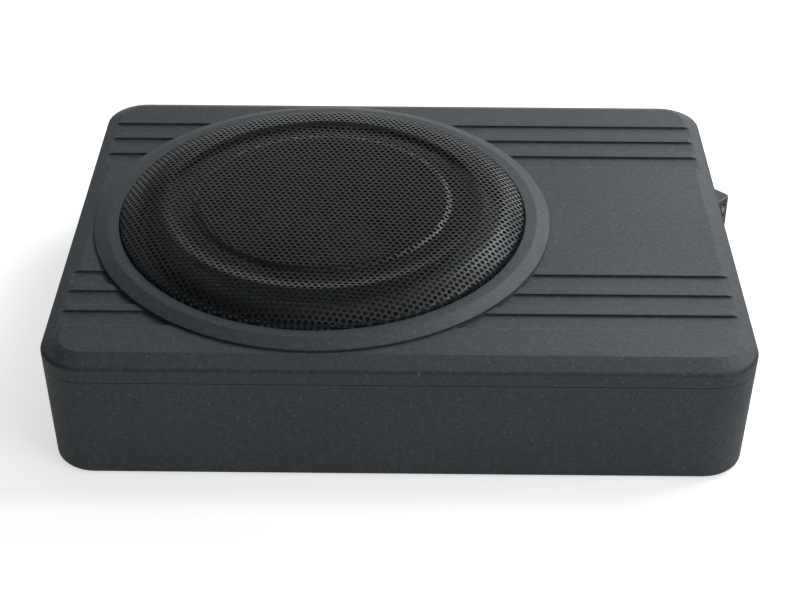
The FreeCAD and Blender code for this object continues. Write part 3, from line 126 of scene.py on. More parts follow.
class Nodes:
    """Builds the nodes of one procedural material; sizes are in millimetres."""

    def __init__(self, name):
        self.material = bpy.data.materials.new(name)
        self.material.use_nodes = True
        self.tree = self.material.node_tree
        self.bsdf = self.tree.nodes["Principled BSDF"]
        coords = self.tree.nodes.new("ShaderNodeTexCoord")
        self.place = coords.outputs["Object"]

    def add(self, kind, **values):
        """New node, with each value given to its input or its setting of that name."""
        node = self.tree.nodes.new(kind)
        for key, value in values.items():
            if key in node.inputs:
                node.inputs[key].default_value = value
            else:
                setattr(node, key, value)
        return node

    def link(self, a, b):
        self.tree.links.new(a, b)

    def noise(self, size_mm, detail=2.0, rough=0.5, stretch=None):
        """Noise whose features are about size_mm across."""
        node = self.add("ShaderNodeTexNoise", Scale=1000.0 / size_mm, Detail=detail, Roughness=rough)
        place = self.place
        if stretch:
            scaling = self.add("ShaderNodeVectorMath", operation="MULTIPLY")
            scaling.inputs[1].default_value = stretch
            self.link(place, scaling.inputs[0])
            place = scaling.outputs[0]
        self.link(place, node.inputs["Vector"])
        return node.outputs["Fac"]

    def cells(self, size_mm, feature):
        """Distances in a pattern of cells that are about size_mm across."""
        node = self.add("ShaderNodeTexVoronoi", Scale=1000.0 / size_mm, feature=feature)
        self.link(self.place, node.inputs["Vector"])
        return node.outputs["Distance"]

    def remap(self, value, from_low, from_high, to_low, to_high):
        """Carry a value from one range to another, held inside it."""
        node = self.add("ShaderNodeMapRange")
        for key, number in zip(("From Min", "From Max", "To Min", "To Max"),
                               (from_low, from_high, to_low, to_high)):
            node.inputs[key].default_value = number
        self.link(value, node.inputs["Value"])
        return node.outputs["Result"]

    def maths(self, operation, a, b):
        """Result of the named operation on two values, each a number or a socket."""
        node = self.add("ShaderNodeMath", operation=operation)
        for socket, value in zip(node.inputs, (a, b)):
            if isinstance(value, (int, float)):
                socket.default_value = value
            else:
                self.link(value, socket)
        return node.outputs[0]

    def mix(self, share, a, b):
        """Mix of two colours, each a tuple or a socket."""
        node = self.add("ShaderNodeMix", data_type="RGBA")
        sockets = [s for s in node.inputs if s.type == "RGBA"]
        for socket, value in zip(sockets, (a, b)):
            if isinstance(value, tuple):
                socket.default_value = (*value, 1.0)
            else:
                self.link(value, socket)
        factor = node.inputs[0]
        if isinstance(share, (int, float)):
            factor.default_value = share
        else:
            self.link(share, factor)
        return [s for s in node.outputs if s.type == "RGBA"][0]

    def bump(self, height, strength, distance_mm, normal=None):
        """Normal of a surface raised by the height."""
        node = self.add("ShaderNodeBump", Strength=strength, Distance=distance_mm * MM)
        self.link(height, node.inputs["Height"])
        if normal is not None:
            self.link(normal, node.inputs["Normal"])
        return node.outputs["Normal"]

    def edge_mask(self, radius_mm):
        """About 1 on sharp edges and 0 on flats."""
        bevel = self.add("ShaderNodeBevel", samples=BEVEL_SAMPLES)
        bevel.inputs["Radius"].default_value = radius_mm * MM
        geometry = self.add("ShaderNodeNewGeometry")
        dot = self.add("ShaderNodeVectorMath", operation="DOT_PRODUCT")
        self.link(bevel.outputs["Normal"], dot.inputs[0])
        self.link(geometry.outputs["Normal"], dot.inputs[1])
        off = self.maths("SUBTRACT", 1.0, dot.outputs["Value"])
        mask = self.maths("MULTIPLY", off, EDGE_GAIN)
        node = self.add("ShaderNodeClamp")
        self.link(mask, node.inputs["Value"])
        return node.outputs[0]

    def soft_edges(self, radius_mm):
        """Normal that rounds sharp edges a little."""
        bevel = self.add("ShaderNodeBevel", samples=BEVEL_SAMPLES)
        bevel.inputs["Radius"].default_value = radius_mm * MM
        return bevel.outputs["Normal"]

    def above(self, height_mm):
        """1 above this height in the frame and 0 below it."""
        split = self.add("ShaderNodeSeparateXYZ")
        self.link(self.place, split.inputs[0])
        return self.maths("GREATER_THAN", split.outputs["Z"], height_mm * MM)

    def set(self, **values):
        """Give inputs of the surface shader a number, a colour or a socket."""
        for key, value in values.items():
            socket = self.bsdf.inputs[key.replace("_", " ")]
            if isinstance(value, tuple):
                socket.default_value = (*value, 1.0) if len(value) == 3 else value
            elif isinstance(value, (int, float)):
                socket.default_value = value
            else:
                self.link(value, socket)


def powder_coat():
    """Fine-grained dark charcoal finish of the case and ring."""
    n = Nodes("powder_coat")
    grain = n.noise(0.9, 3.0, 0.7)
    mottle = n.noise(2.6, 3.0, 0.65)
    broad = n.noise(70.0, 3.0, 0.55)
    speck = n.remap(n.noise(1.7, 1.0), 0.71, 0.77, 0.0, 1.0)
    edge = n.edge_mask(0.8)
    base = n.mix(n.remap(broad, 0.3, 0.7, 0.0, 1.0), (0.041, 0.0515, 0.059), (0.048, 0.060, 0.068))
    base = n.mix(n.remap(grain, 0.40, 0.62, 0.65, 0.0), base, (0.021, 0.027, 0.031))
    base = n.mix(n.remap(mottle, 0.46, 0.72, 0.0, 0.5), base, (0.076, 0.093, 0.104))
    base = n.mix(n.maths("MULTIPLY", speck, 0.45), base, (0.20, 0.21, 0.215))
    # lighter sharp edges: painted edge highlight, with a little edge wear
    base = n.mix(n.maths("MULTIPLY", edge, 0.35), base, (0.11, 0.12, 0.128))
    rough = n.remap(n.maths("ADD", grain, n.maths("MULTIPLY", broad, 0.6)), 0.5, 1.1, 0.60, 0.46)
    height = n.maths("ADD", grain, n.maths("MULTIPLY", mottle, 0.5))
    n.set(Base_Color=base, Roughness=rough, Specular_IOR_Level=0.5)
    n.set(Normal=n.bump(height, 0.8, 0.16, n.soft_edges(0.5)))
    return n.material


def black_mesh_paint():
    """Half-gloss black paint of the grille, with painted highlights on the edges of the holes."""
    n = Nodes("grille_paint")
    grain = n.noise(0.6, 2.0)
    broad = n.noise(30.0, 2.0)
    base = n.mix(n.remap(broad, 0.3, 0.7, 0.0, 1.0), (0.0075, 0.0096, 0.0108), (0.0115, 0.0148, 0.0166))
    # painted highlight: hole edges made lighter to stand for light caught on the rolled edges
    base = n.mix(n.maths("MULTIPLY", n.edge_mask(0.15), 0.25), base, (0.05, 0.054, 0.056))
    rough = n.remap(grain, 0.3, 0.7, 0.27, 0.38)
    n.set(Base_Color=base, Roughness=rough, Normal=n.bump(grain, 0.2, 0.05), Specular_IOR_Level=0.36)
    return n.material


def rubber(name, shade=0.018, sheen=0.2):
    """Dull black rubber with a fine bloom."""
    n = Nodes(name)
    grain = n.noise(0.8, 3.0)
    bloom = n.noise(14.0, 3.0)
    base = n.mix(n.remap(bloom, 0.35, 0.7, 0.0, 1.0), (shade, shade, shade * 1.02), (shade * 1.9,) * 3)
    n.set(Base_Color=base, Roughness=n.remap(grain, 0.3, 0.7, 0.6, 0.8), Normal=n.bump(grain, 0.3, 0.08))
    n.set(Sheen_Weight=sheen)
    return n.material


def plastic(name, colour, rough=0.45, grain_mm=0.5, wear_and_highlight=0.2, edge_mm=0.25, worn_and_lit_colour=None):
    """Moulded plastic with a fine spark grain and lighter edges, partly rubbed wear and partly painted
    edge highlight.
    """
    n = Nodes(name)
    grain = n.noise(grain_mm, 2.0)
    broad = n.noise(12.0, 3.0)
    dark = tuple(c * 0.85 for c in colour)
    worn_and_lit_colour = worn_and_lit_colour or tuple(min(1.0, c * 1.5 + 0.04) for c in colour)
    base = n.mix(n.remap(broad, 0.3, 0.7, 0.0, 1.0), dark, colour)
    # lighter edges: partly rubbed wear, partly painted edge highlight
    base = n.mix(n.maths("MULTIPLY", n.edge_mask(edge_mm), wear_and_highlight), base, worn_and_lit_colour)
    n.set(Base_Color=base, Roughness=n.remap(grain, 0.3, 0.7, rough - 0.06, rough + 0.1))
    n.set(Normal=n.bump(grain, 0.25, 0.03, n.soft_edges(0.2)))
    return n.material


def metal(name, colour, rough=0.3, brushed=None):
    """Bare or plated metal with fine marks and a little tarnish."""
    n = Nodes(name)
    marks = n.noise(0.5, 2.0, 0.5, brushed)
    tarnish = n.noise(6.0, 4.0)
    dull = tuple(c * 0.72 for c in colour)
    base = n.mix(n.remap(tarnish, 0.35, 0.75, 0.0, 1.0), colour, dull)
    n.set(Base_Color=base, Metallic=1.0, Roughness=n.remap(marks, 0.3, 0.7, rough - 0.08, rough + 0.12))
    n.set(Normal=n.bump(marks, 0.15, 0.02, n.soft_edges(0.15)))
    return n.material


def banded(name, low_mm, high_mm, colour, band_colour, band_is_metal):
    """Plastic-like finish with a second colour between two heights."""
    n = Nodes(name)
    grain = n.noise(0.5, 2.0)
    broad = n.noise(9.0, 3.0)
    band = n.maths("SUBTRACT", n.above(low_mm), n.above(high_mm))
    base = n.mix(band, colour, band_colour)
    base = n.mix(n.remap(broad, 0.35, 0.75, 0.0, 0.35), base, tuple(c * 0.6 for c in colour))
    n.set(Base_Color=base, Roughness=n.remap(grain, 0.3, 0.7, 0.34, 0.5))
    if band_is_metal:
        n.set(Metallic=band)
    n.set(Normal=n.bump(grain, 0.25, 0.03, n.soft_edges(0.15)))
    return n.material


def paper_cone():
    """Pressed black pulp with short fibres."""
    n = Nodes("cone_pulp")
    fibres = n.noise(1.1, 4.0, 0.7, (1.0, 1.0, 3.0))
    broad = n.noise(18.0, 2.0)
    base = n.mix(n.remap(fibres, 0.4, 0.7, 0.0, 1.0), (0.012, 0.012, 0.013), (0.035, 0.034, 0.033))
    base = n.mix(n.remap(broad, 0.4, 0.8, 0.0, 0.4), base, (0.03, 0.03, 0.032))
    n.set(Base_Color=base, Roughness=0.8, Normal=n.bump(fibres, 0.6, 0.15))
    return n.material


def circuit_board():
    """Green solder mask over faint copper tracks."""
    n = Nodes("solder_mask")
    tracks = n.cells(5.0, "DISTANCE_TO_EDGE")
    fine = n.noise(1.0, 2.0)
    mask = n.remap(tracks, 0.06, 0.09, 1.0, 0.0)
    base = n.mix(mask, (0.010, 0.075, 0.032), (0.03, 0.16, 0.06))
    n.set(Base_Color=base, Roughness=n.remap(fine, 0.3, 0.7, 0.25, 0.4), Normal=n.bump(mask, 0.3, 0.04))
    return n.material


def cloth(name, colour):
    """Treated woven cloth of the spider."""
    n = Nodes(name)
    weave_x = n.add("ShaderNodeTexWave", Scale=520.0, bands_direction="X")
    weave_y = n.add("ShaderNodeTexWave", Scale=520.0, bands_direction="Y")
    for wave in (weave_x, weave_y):
        n.link(n.place, wave.inputs["Vector"])
    weave = n.maths("MULTIPLY", weave_x.outputs["Fac"], weave_y.outputs["Fac"])
    dark = tuple(c * 0.5 for c in colour)
    base = n.mix(weave, dark, colour)
    n.set(Base_Color=base, Roughness=0.85, Normal=n.bump(weave, 0.5, 0.1))
    return n.material


# ---- grille --------------------------------------------------------------------------------------
PITCH = 3.3 * MM                    # from hole to hole
HOLE_R = 1.25 * MM
SHEET_T = 0.6 * MM
ROW_TURN = math.radians(-4.6)       # turn of the rows of holes from the X axis
ROW_GAP = PITCH * math.sqrt(3) / 2  # from row to row
CELL_R = PITCH / math.sqrt(3)       # from a cell's middle to its corners
CELL_FIRST = 30                     # degrees to a cell's first corner
HOLE_SIDES = 8
LAST_HOLE_DOWN = 1.4 * MM           # how far down the skirt the lowest holes sit
RIM_SLACK = 0.2                     # cells this share of CELL_R past the rim are still made
KEY_SCALE = 1e6                     # flat points are matched to a micrometre
GRILLE_RISE = GRILLE_TOP - TOP_Z    # top of the grille above the lid
GRILLE_BENDS = (                    # radius, height above the lid and bend radius, in millimetres
    (66.0, GRILLE_RISE / MM, 2.6),
    (67.8, 10.75, 2.0),
    (77.5, 10.7, 30.0),
    (83.5, 11.7, 9.0),
    (97.0, 10.0, 45.0),
    (106.4, 5.3, 1.8),
    (106.6, 0.62, 0.5),
)
GRILLE_EDGE_R = 112.0               # rim of the hidden flange, in millimetres
BEND_POINTS = 5
BEND_SHARE = 0.45                   # largest share of a straight stretch that a bend takes up


def grille_profile():
    """(radius, height) of the grille's outer surface, from the middle outwards."""
    corners = [Vector((0.0, GRILLE_RISE / MM))]
    corners += [Vector((r, h)) for r, h, bend in GRILLE_BENDS]
    corners.append(Vector((GRILLE_EDGE_R, GRILLE_BENDS[-1][1])))
    points = [corners[0]]
    for before, here, after, (_, _, bend) in zip(corners, corners[1:], corners[2:], GRILLE_BENDS):
        back = (before - here).normalized()
        ahead = (after - here).normalized()
        half = back.angle(ahead) / 2
        room = min((before - here).length, (after - here).length) * BEND_SHARE
        reach = min(bend / math.tan(half), room)
        start, end = here + back * reach, here + ahead * reach
        points += [curve(start, here, end, k / (BEND_POINTS - 1)) for k in range(BEND_POINTS)]
    points.append(corners[-1])
    return [(p.x * MM, TOP_Z + p.y * MM) for p in points]


def walk_along(profile):
    """Function from distance along the profile to (point, outward normal), and the distances."""
    lengths = [0.0]
    for (r0, z0), (r1, z1) in zip(profile, profile[1:]):
        lengths.append(lengths[-1] + math.hypot(r1 - r0, z1 - z0))

    def place(s):
        s = min(max(s, 0.0), lengths[-1])
        k = 0
        while k < len(profile) - 2 and lengths[k + 1] < s:
            k += 1
        (r0, z0), (r1, z1) = profile[k], profile[k + 1]
        span = lengths[k + 1] - lengths[k]
        t = (s - lengths[k]) / span
        normal = (-(z1 - z0) / span, (r1 - r0) / span)
        return (r0 + t * (r1 - r0), z0 + t * (z1 - z0)), normal

    return place, lengths


def build_grille():
    """Perforated sheet: hexagonal cells with real holes, pressed to the profile."""
    profile = grille_profile()
    place, lengths = walk_along(profile)
    reach = lengths[-1]
    skirt_top = lengths[-BEND_POINTS - 2]
    last_hole = skirt_top + LAST_HOLE_DOWN
    bm = bmesh.new()
    turn_cos, turn_sin = math.cos(ROW_TURN), math.sin(ROW_TURN)
    cache = {}

    def vertex(u, v, side):
        """Vertex of the pressed sheet for a flat point; side 0 is the top face, 1 the underside."""
        rho = math.hypot(u, v)
        if rho > reach:
            u, v, rho = u * reach / rho, v * reach / rho, reach
        key = (round(u * KEY_SCALE), round(v * KEY_SCALE), side)
        if key not in cache:
            (r, z), (nr, nz) = place(rho)
            r -= nr * SHEET_T * side
            z -= nz * SHEET_T * side
            c, s = (u / rho, v / rho) if rho else (1.0, 0.0)
            x, y = r * c, r * s
            turned = Vector((x * turn_cos - y * turn_sin, x * turn_sin + y * turn_cos, z))
            cache[key] = bm.verts.new(DRIVER + turned)
        return cache[key]

    def face(points):
        """Face through the points that differ, if three or more are left."""
        unique = []
        for p in points:
            if p not in unique:
                unique.append(p)
        if len(unique) > 2:
            bm.faces.new(unique)

    rows = int(reach / ROW_GAP) + 2
    cell_edges = {}
    for row in range(-rows, rows + 1):
        v0 = row * ROW_GAP
        shift = PITCH / 2 if row % 2 else 0.0
        for column in range(-rows, rows + 1):
            u0 = column * PITCH + shift
            rho0 = math.hypot(u0, v0)
            if rho0 > reach + CELL_R * RIM_SLACK:
                continue
            outer = cell_corners(u0, v0)
            for pair in zip(outer, outer[1:] + outer[:1]):
                key = frozenset((round(u * KEY_SCALE), round(v * KEY_SCALE)) for u, v in pair)
                cell_edges.setdefault(key, []).append(pair)
            holed = rho0 < last_hole
            for side in (0, 1):
                ring = [vertex(u, v, side) for u, v in outer]
                if holed:
                    stitch(face, ring, hole_ring(u0, v0, vertex, side), side)
                else:
                    face(ring if side == 0 else ring[::-1])
            if holed:
                top = hole_ring(u0, v0, vertex, 0)
                under = hole_ring(u0, v0, vertex, 1)
                for k in range(HOLE_SIDES):
                    m = (k + 1) % HOLE_SIDES
                    face((top[k], top[m], under[m], under[k]))
    for pairs in cell_edges.values():
        if len(pairs) == 1:
            a, b = pairs[0]
            face((vertex(*a, 0), vertex(*b, 0), vertex(*b, 1), vertex(*a, 1)))
    piece = new_piece("grille_mesh_perforated", bm, "case", 38.0)
    finish_piece(piece, black_mesh_paint(), "grille_mesh")


def cell_corners(u0, v0):
    """Flat corners of the six-sided cell round one hole."""
    points = []
    for k in range(6):
        a = math.radians(60 * k + CELL_FIRST)
        points.append((u0 + CELL_R * math.cos(a), v0 + CELL_R * math.sin(a)))
    return points


def hole_ring(u0, v0, vertex, side):
    """Vertices round one hole."""
    points = []
    for k in range(HOLE_SIDES):
        a = 2 * math.pi * (k + 0.5) / HOLE_SIDES + math.radians(CELL_FIRST)
        points.append(vertex(u0 + HOLE_R * math.cos(a), v0 + HOLE_R * math.sin(a), side))
    return points


def stitch(face, ring, hole, side):
    """Triangles between a six-sided cell and its hole."""
    outer_turn = [60 * k + CELL_FIRST for k in range(6)]
    hole_turn = [360 * (k + 0.5) / HOLE_SIDES + CELL_FIRST for k in range(HOLE_SIDES)]
    i, j = 0, 0
    while i < 6 or j < HOLE_SIDES:
        next_outer = outer_turn[i] + 60 if i < 6 else math.inf
        next_hole = hole_turn[j] + 360 / HOLE_SIDES if j < HOLE_SIDES else math.inf
        a, b = ring[i % 6], hole[j % HOLE_SIDES]
        if next_outer <= next_hole:
            corners = (a, ring[(i + 1) % 6], b)
            i += 1
        else:
            corners = (a, hole[(j + 1) % HOLE_SIDES], b)
            j += 1
        face(corners if side == 0 else corners[::-1])


# ---- soft and fine pieces ------------------------------------------------------------------------
CORNER_SHARE = 0.48                 # largest share of a stretch that a rounded corner takes up


def rounded_path(points, bend, steps=8):
    """Polyline with its corners rounded."""
    corners = [Vector(p) for p in points]
    path = [corners[0]]
    for before, here, after in zip(corners, corners[1:], corners[2:]):
        back, ahead = before - here, after - here
        reach = min(bend, back.length * CORNER_SHARE, ahead.length * CORNER_SHARE)
        start, end = here + back.normalized() * reach, here + ahead.normalized() * reach
        path += [curve(start, here, end, k / steps) for k in range(steps + 1)]
    path.append(corners[-1])
    return path


def sweep(bm, path, section, across, closed=False):
    """Run a closed (sideways, up) section along a path; across is the sideways direction or None."""
    rings = []
    count = len(path)
    for i, here in enumerate(path):
        ahead = path[(i + 1) % count] if closed else path[min(i + 1, count - 1)]
        behind = path[(i - 1) % count] if closed else path[max(i - 1, 0)]
        along = (ahead - behind).normalized()
        side = Vector(across) if across is not None else along.cross(Vector((0, 0, 1))).normalized()
        up = side.cross(along).normalized()
        rings.append([bm.verts.new(here + side * a + up * b) for a, b in section])
    size = len(section)
    for i in range(count if closed else count - 1):
        here, there = rings[i], rings[(i + 1) % count]
        for k in range(size):
            m = (k + 1) % size
            bm.faces.new((here[k], there[k], there[m], here[m]))
    if not closed:
        bm.faces.new(rings[0])
        bm.faces.new(rings[-1][::-1])


def circle_section(radius, sides):
    """Section of a round wire."""
    turns = [2 * math.pi * k / sides for k in range(sides)]
    return [(radius * math.cos(a), radius * math.sin(a)) for a in turns]


def build_feet():
    """Moulded feet: a rounded rim, a recess and grip rings underneath."""
    bm = bmesh.new()
    lo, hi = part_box("rubber_feet")
    radius = 9.0 * MM
    underside = [(0.0, 0.45), (2.6, 0.45), (2.9, 0.2), (3.5, 0.2), (3.8, 0.45), (5.4, 0.45),
                 (5.9, 0.05), (6.4, 0.0), (8.0, 0.0), (8.6, 0.12), (8.95, 0.5)]
    outline = [(r * MM, h * MM) for r, h in underside] + [(radius, hi.z), (0.0, hi.z)]
    for x in (lo.x + radius, hi.x - radius):
        for y in (lo.y + radius, hi.y - radius):
            lathe(bm, outline, 48, (x, y, 0.0))
    piece = new_piece("rubber_feet_moulded", bm)
    finish_piece(piece, rubber("foot_rubber", 0.02), "rubber_feet")


def build_seam_gasket():
    """Thin bead of sealing rubber squeezed between lid and tray."""
    lo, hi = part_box("seam_gasket")
    bead = 1.8 * MM
    width, depth = hi.x - lo.x - bead, hi.y - lo.y - bead
    radius = 19.0 * MM              # of the bead's middle line at the corners
    path = []
    for sx, sy, start in ((1, 1, 0), (-1, 1, 90), (-1, -1, 180), (1, -1, 270)):
        centre = Vector((sx * (width / 2 - radius), sy * (depth / 2 - radius), (lo.z + hi.z) / 2))
        for k in range(13):
            a = math.radians(start + 90 * k / 12)
            path.append(centre + Vector((radius * math.cos(a), radius * math.sin(a), 0)))
    thick = (hi.z - lo.z) / 2 * 0.98
    section = [(0.88 * MM, 0.0), (0.7 * MM, thick), (0.0, thick * 0.9), (-0.7 * MM, thick),
               (-0.88 * MM, 0.0), (-0.7 * MM, -thick), (0.0, -thick * 0.9), (0.7 * MM, -thick)]
    bm = bmesh.new()
    sweep(bm, path, section, None, True)
    piece = new_piece("seam_gasket_bead", bm)
    finish_piece(piece, rubber("seal_rubber", 0.012), "seam_gasket")


def build_surround():
    """Half-roll edge with a raised bead at each glue line and faint moulding ribs on the roll."""
    lo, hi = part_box("surround")
    base = lo.z
    sheet = 1.0 * MM
    roll_mid, roll_r = 85.0 * MM, 6.5 * MM
    outer_r, inner_r = (hi.x - lo.x) / 2, 74.5 * MM
    bead = 1.2 * MM
    steps = 20
    top, under = [], []
    for k in range(steps + 1):
        a = math.pi * k / steps
        top.append((roll_mid + (roll_r + sheet * 0.6) * math.cos(a),
                    base + sheet + roll_r * math.sin(a)))
        under.append((roll_mid + (roll_r - sheet * 0.4) * math.cos(a),
                      base + (roll_r - 0.3 * MM) * math.sin(a) * 0.97))
    outline = [(outer_r, base), (outer_r, base + sheet * 0.7), (outer_r - bead, base + sheet)]
    outline += top
    outline += [(inner_r + bead, base + sheet), (inner_r, base + sheet * 0.6), (inner_r, base)]
    outline += under[::-1]

    def ribbed(angle, r, z):
        lift = max(0.0, 1.0 - abs(r - roll_mid) / roll_r)
        return r, z + 0.12 * MM * lift * math.cos(72 * angle)

    bm = bmesh.new()
    lathe(bm, outline, 288, DRIVER, wobble=ribbed)
    piece = new_piece("surround_roll", bm, None)
    finish_piece(piece, rubber("surround_rubber", 0.022, 0.3), "surround")
    from_place, to_place = (DRIVER.x + outer_r, 0, base), (DRIVER.x + inner_r, 0, base)
    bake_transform(piece)
    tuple(from_place)
    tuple(to_place)


def build_spider():
    """Corrugated disc of treated cloth."""
    lo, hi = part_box("spider")
    middle = (lo.z + hi.z) / 2
    outer_r, inner_r = (hi.x - lo.x) / 2, 25.45 * MM
    waves, steps = 5, 100
    wave_height, cloth_t = 1.25 * MM, 0.55 * MM
    face_z = middle + 0.3 * MM
    start, stop = outer_r - 4.0 * MM, inner_r + 3.0 * MM
    top = [(outer_r, face_z)]
    for k in range(steps + 1):
        t = k / steps
        height = wave_height * math.sin(2 * math.pi * waves * t)
        top.append((start + (stop - start) * t, face_z + height))
    top.append((inner_r, face_z))
    outline = top + [(r, z - cloth_t) for r, z in reversed(top)]

    def uneven(angle, r, z):
        return r, z + 0.05 * MM * math.sin(9 * angle + 400 * r)

    bm = bmesh.new()
    lathe(bm, outline, 144, DRIVER, wobble=uneven)
    piece = new_piece("spider_cloth_disc", bm, None)
    finish_piece(piece, cloth("spider_cloth", (0.55, 0.38, 0.14)), "spider")
    from_place, to_place = (DRIVER.x + outer_r, 0, middle), (DRIVER.x + inner_r, 0, middle)
    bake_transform(piece)
    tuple(from_place)
    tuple(to_place)


def build_woofer_gasket():
    """Foam ring under the deck with a slot for each screw."""
    lo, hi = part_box("woofer_gasket")
    edges = [99.0 * MM, 102.7 * MM, 106.3 * MM, 110.5 * MM]
    count, screws = 200, 8
    step = math.radians(360 / count)
    first = math.radians(11.25) - step / 2      # the first slot is centred on the first screw
    bm = bmesh.new()
    corner = {}

    def vertex(i, j, level):
        key = (i % count, j, level)
        if key not in corner:
            a = first + step * key[0]
            r = edges[j] + (0.15 * MM * math.sin(23 * a) if j in (0, 3) else 0.0)
            z = (lo.z, hi.z)[level] + (-1, 1)[level] * -0.03 * MM * (1 + math.sin(17 * a))
            corner[key] = bm.verts.new(DRIVER + Vector((r * math.cos(a), r * math.sin(a), z)))
        return corner[key]

    def solid(i, j):
        """False outside the ring and in a screw's slot."""
        return 0 <= j < 3 and not (j == 1 and i % (count // screws) == 0)

    for i in range(count):
        for j in range(3):
            if not solid(i, j):
                continue
            ring = ((i, j), (i + 1, j), (i + 1, j + 1), (i, j + 1))
            bm.faces.new([vertex(a, b, 1) for a, b in ring])
            bm.faces.new([vertex(a, b, 0) for a, b in ring[::-1]])
            sides = ((0, 1, i, j - 1), (1, 2, i + 1, j), (2, 3, i, j + 1), (3, 0, i - 1, j))
            for a, b, ni, nj in sides:
                if not solid(ni, nj):
                    p, q = ring[a], ring[b]
                    bm.faces.new((vertex(*p, 0), vertex(*q, 0), vertex(*q, 1), vertex(*p, 1)))
    piece = new_piece("woofer_gasket_foam", bm)
    finish_piece(piece, rubber("gasket_foam", 0.03, 0.4), "woofer_gasket")


def build_tinsel_leads():
    """Two leads, each of three twisted strands, hanging in a curve from the strip to the cone."""
    lo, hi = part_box("tinsel_leads")
    start_x, end_x = hi.x, lo.x + 0.3 * MM
    strip_z, sag_z, cone_z = 54.0 * MM, 44.0 * MM, 51.6 * MM
    lead_r, strand_r = 0.7 * MM, 0.34 * MM
    strands, twists, steps = 3, 13, 60
    bm = bmesh.new()
    for y in (lo.y + lead_r, hi.y - lead_r):
        a = Vector((start_x, y, strip_z))
        b = Vector(((start_x + end_x) / 2, y, sag_z))
        c = Vector((end_x, y, cone_z))
        for strand in range(strands):
            path = []
            for k in range(steps + 1):
                t = k / steps
                spin = 2 * math.pi * (strand / strands + twists * t)
                path.append(curve(a, b, c, t) + Vector((0, math.cos(spin), math.sin(spin))) * strand_r)
            sweep(bm, path, circle_section(strand_r, 6), (0, 1, 0))
    piece = new_piece("tinsel_leads_twisted", bm, None)
    finish_piece(piece, metal("tinsel_copper", (0.85, 0.45, 0.25), 0.35), "tinsel_leads")
    from_place, to_place = (start_x - 3 * MM, 0, strip_z), (end_x + 2 * MM, 0, cone_z)
    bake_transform(piece)
    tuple(from_place)
    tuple(to_place)


def build_speaker_wires():
    """Insulated pair, one red and one black, with bared ends."""
    lo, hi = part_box("speaker_wires")
    strip_z, low_z = 57.4 * MM, 30 * MM
    drop_x, board_x = 68 * MM, 88 * MM
    wires = ((lo.y + 1.1 * MM, "black", (0.02, 0.02, 0.021)),
             (hi.y - 1.1 * MM, "red", (0.38, 0.02, 0.02)))
    for y, name, colour in wires:
        bends = [(lo.x, y, strip_z), (drop_x, y, strip_z), (drop_x, y, low_z), (board_x, y, low_z),
                 (board_x, y, lo.z)]
        path = rounded_path(bends, 6 * MM)
        bm = bmesh.new()
        sweep(bm, path, circle_section(1.05 * MM, 14), (0, 1, 0))
        sheath = plastic("sheath_" + name, colour, 0.4)
        finish_piece(new_piece("speaker_wire_" + name, bm), sheath, "speaker_wires")


def build_ribbon():
    """Flat cable of ten joined wires, curved from the control board down to the main board."""
    lo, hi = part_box("ribbon_cable")
    middle_y = (lo.y + hi.y) / 2
    half = 0.45 * MM                # half of the cable's thickness
    bends = [(hi.x, middle_y, hi.z - half), (lo.x + half, middle_y, hi.z - half),
             (lo.x + half, middle_y, lo.z)]
    path = rounded_path(bends, 4 * MM)
    wires = 10
    pitch = (hi.y - lo.y) / wires
    steps = 6                       # across each wire
    upper, lower = [], []
    for k in range(wires * steps + 1):
        a = (k / steps - wires / 2) * pitch
        ridge = 0.16 * MM + 0.26 * MM * abs(math.sin(math.pi * k / steps))
        upper.append((a, ridge))
        lower.append((a, -ridge))
    bm = bmesh.new()
    sweep(bm, path, upper + lower[::-1], (0, 1, 0))
    piece = new_piece("ribbon_cable_wires", bm)
    sheath = plastic("grey_sheath", (0.35, 0.35, 0.36), 0.5)
    finish_piece(piece, sheath, "ribbon_cable")


# ---- control panel details -----------------------------------------------------------------------
PANEL_FACE = high("end_panel").x
CONTROLS = ("gain", "crossover", "boost")
CONTROL_TURN = 140.0                # degrees each way from the middle
PHASE_TRAVEL = 4.4 * MM             # of the switch lever along Y
PRINT_LOW, PRINT_HIGH = PANEL_FACE - 0.02 * MM, PANEL_FACE + 0.05 * MM
TICKS = 11
LONG_TICK = (7.5, 8.9, 0.5)         # inner and outer radius and width, in millimetres
SHORT_TICK = (7.7, 8.5, 0.3)


def flat_patch(bm, corners, x0, x1):
    """Thin raised patch on the panel from (y, z) corners."""
    back = [bm.verts.new((x0, y, z)) for y, z in corners]
    front = [bm.verts.new((x1, y, z)) for y, z in corners]
    bm.faces.new(front)
    bm.faces.new(back[::-1])
    for k in range(len(corners)):
        m = (k + 1) % len(corners)
        bm.faces.new((back[k], back[m], front[m], front[k]))


def stroke(bm, start, end, width):
    """Printed line between two (y, z) points."""
    a, b = Vector(start), Vector(end)
    along = (b - a).normalized()
    side = Vector((-along.y, along.x)) * width / 2
    flat_patch(bm, [a - side, b - side, b + side, a + side], PRINT_LOW, PRINT_HIGH)


def frame_line(bm, node, gap, width):
    """Printed rectangle round a fitting."""
    lo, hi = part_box(node)
    y0, y1, z0, z1 = lo.y - gap, hi.y + gap, lo.z - gap, hi.z + gap
    corners = [(y0, z0), (y1, z0), (y1, z1), (y0, z1)]
    for start, end in zip(corners, corners[1:] + corners[:1]):
        stroke(bm, start, end, width)


def knob_middle(name):
    """(y, z) of a control's axis."""
    lo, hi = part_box(name + "_knob")
    return (lo.y + hi.y) / 2, (lo.z + hi.z) / 2


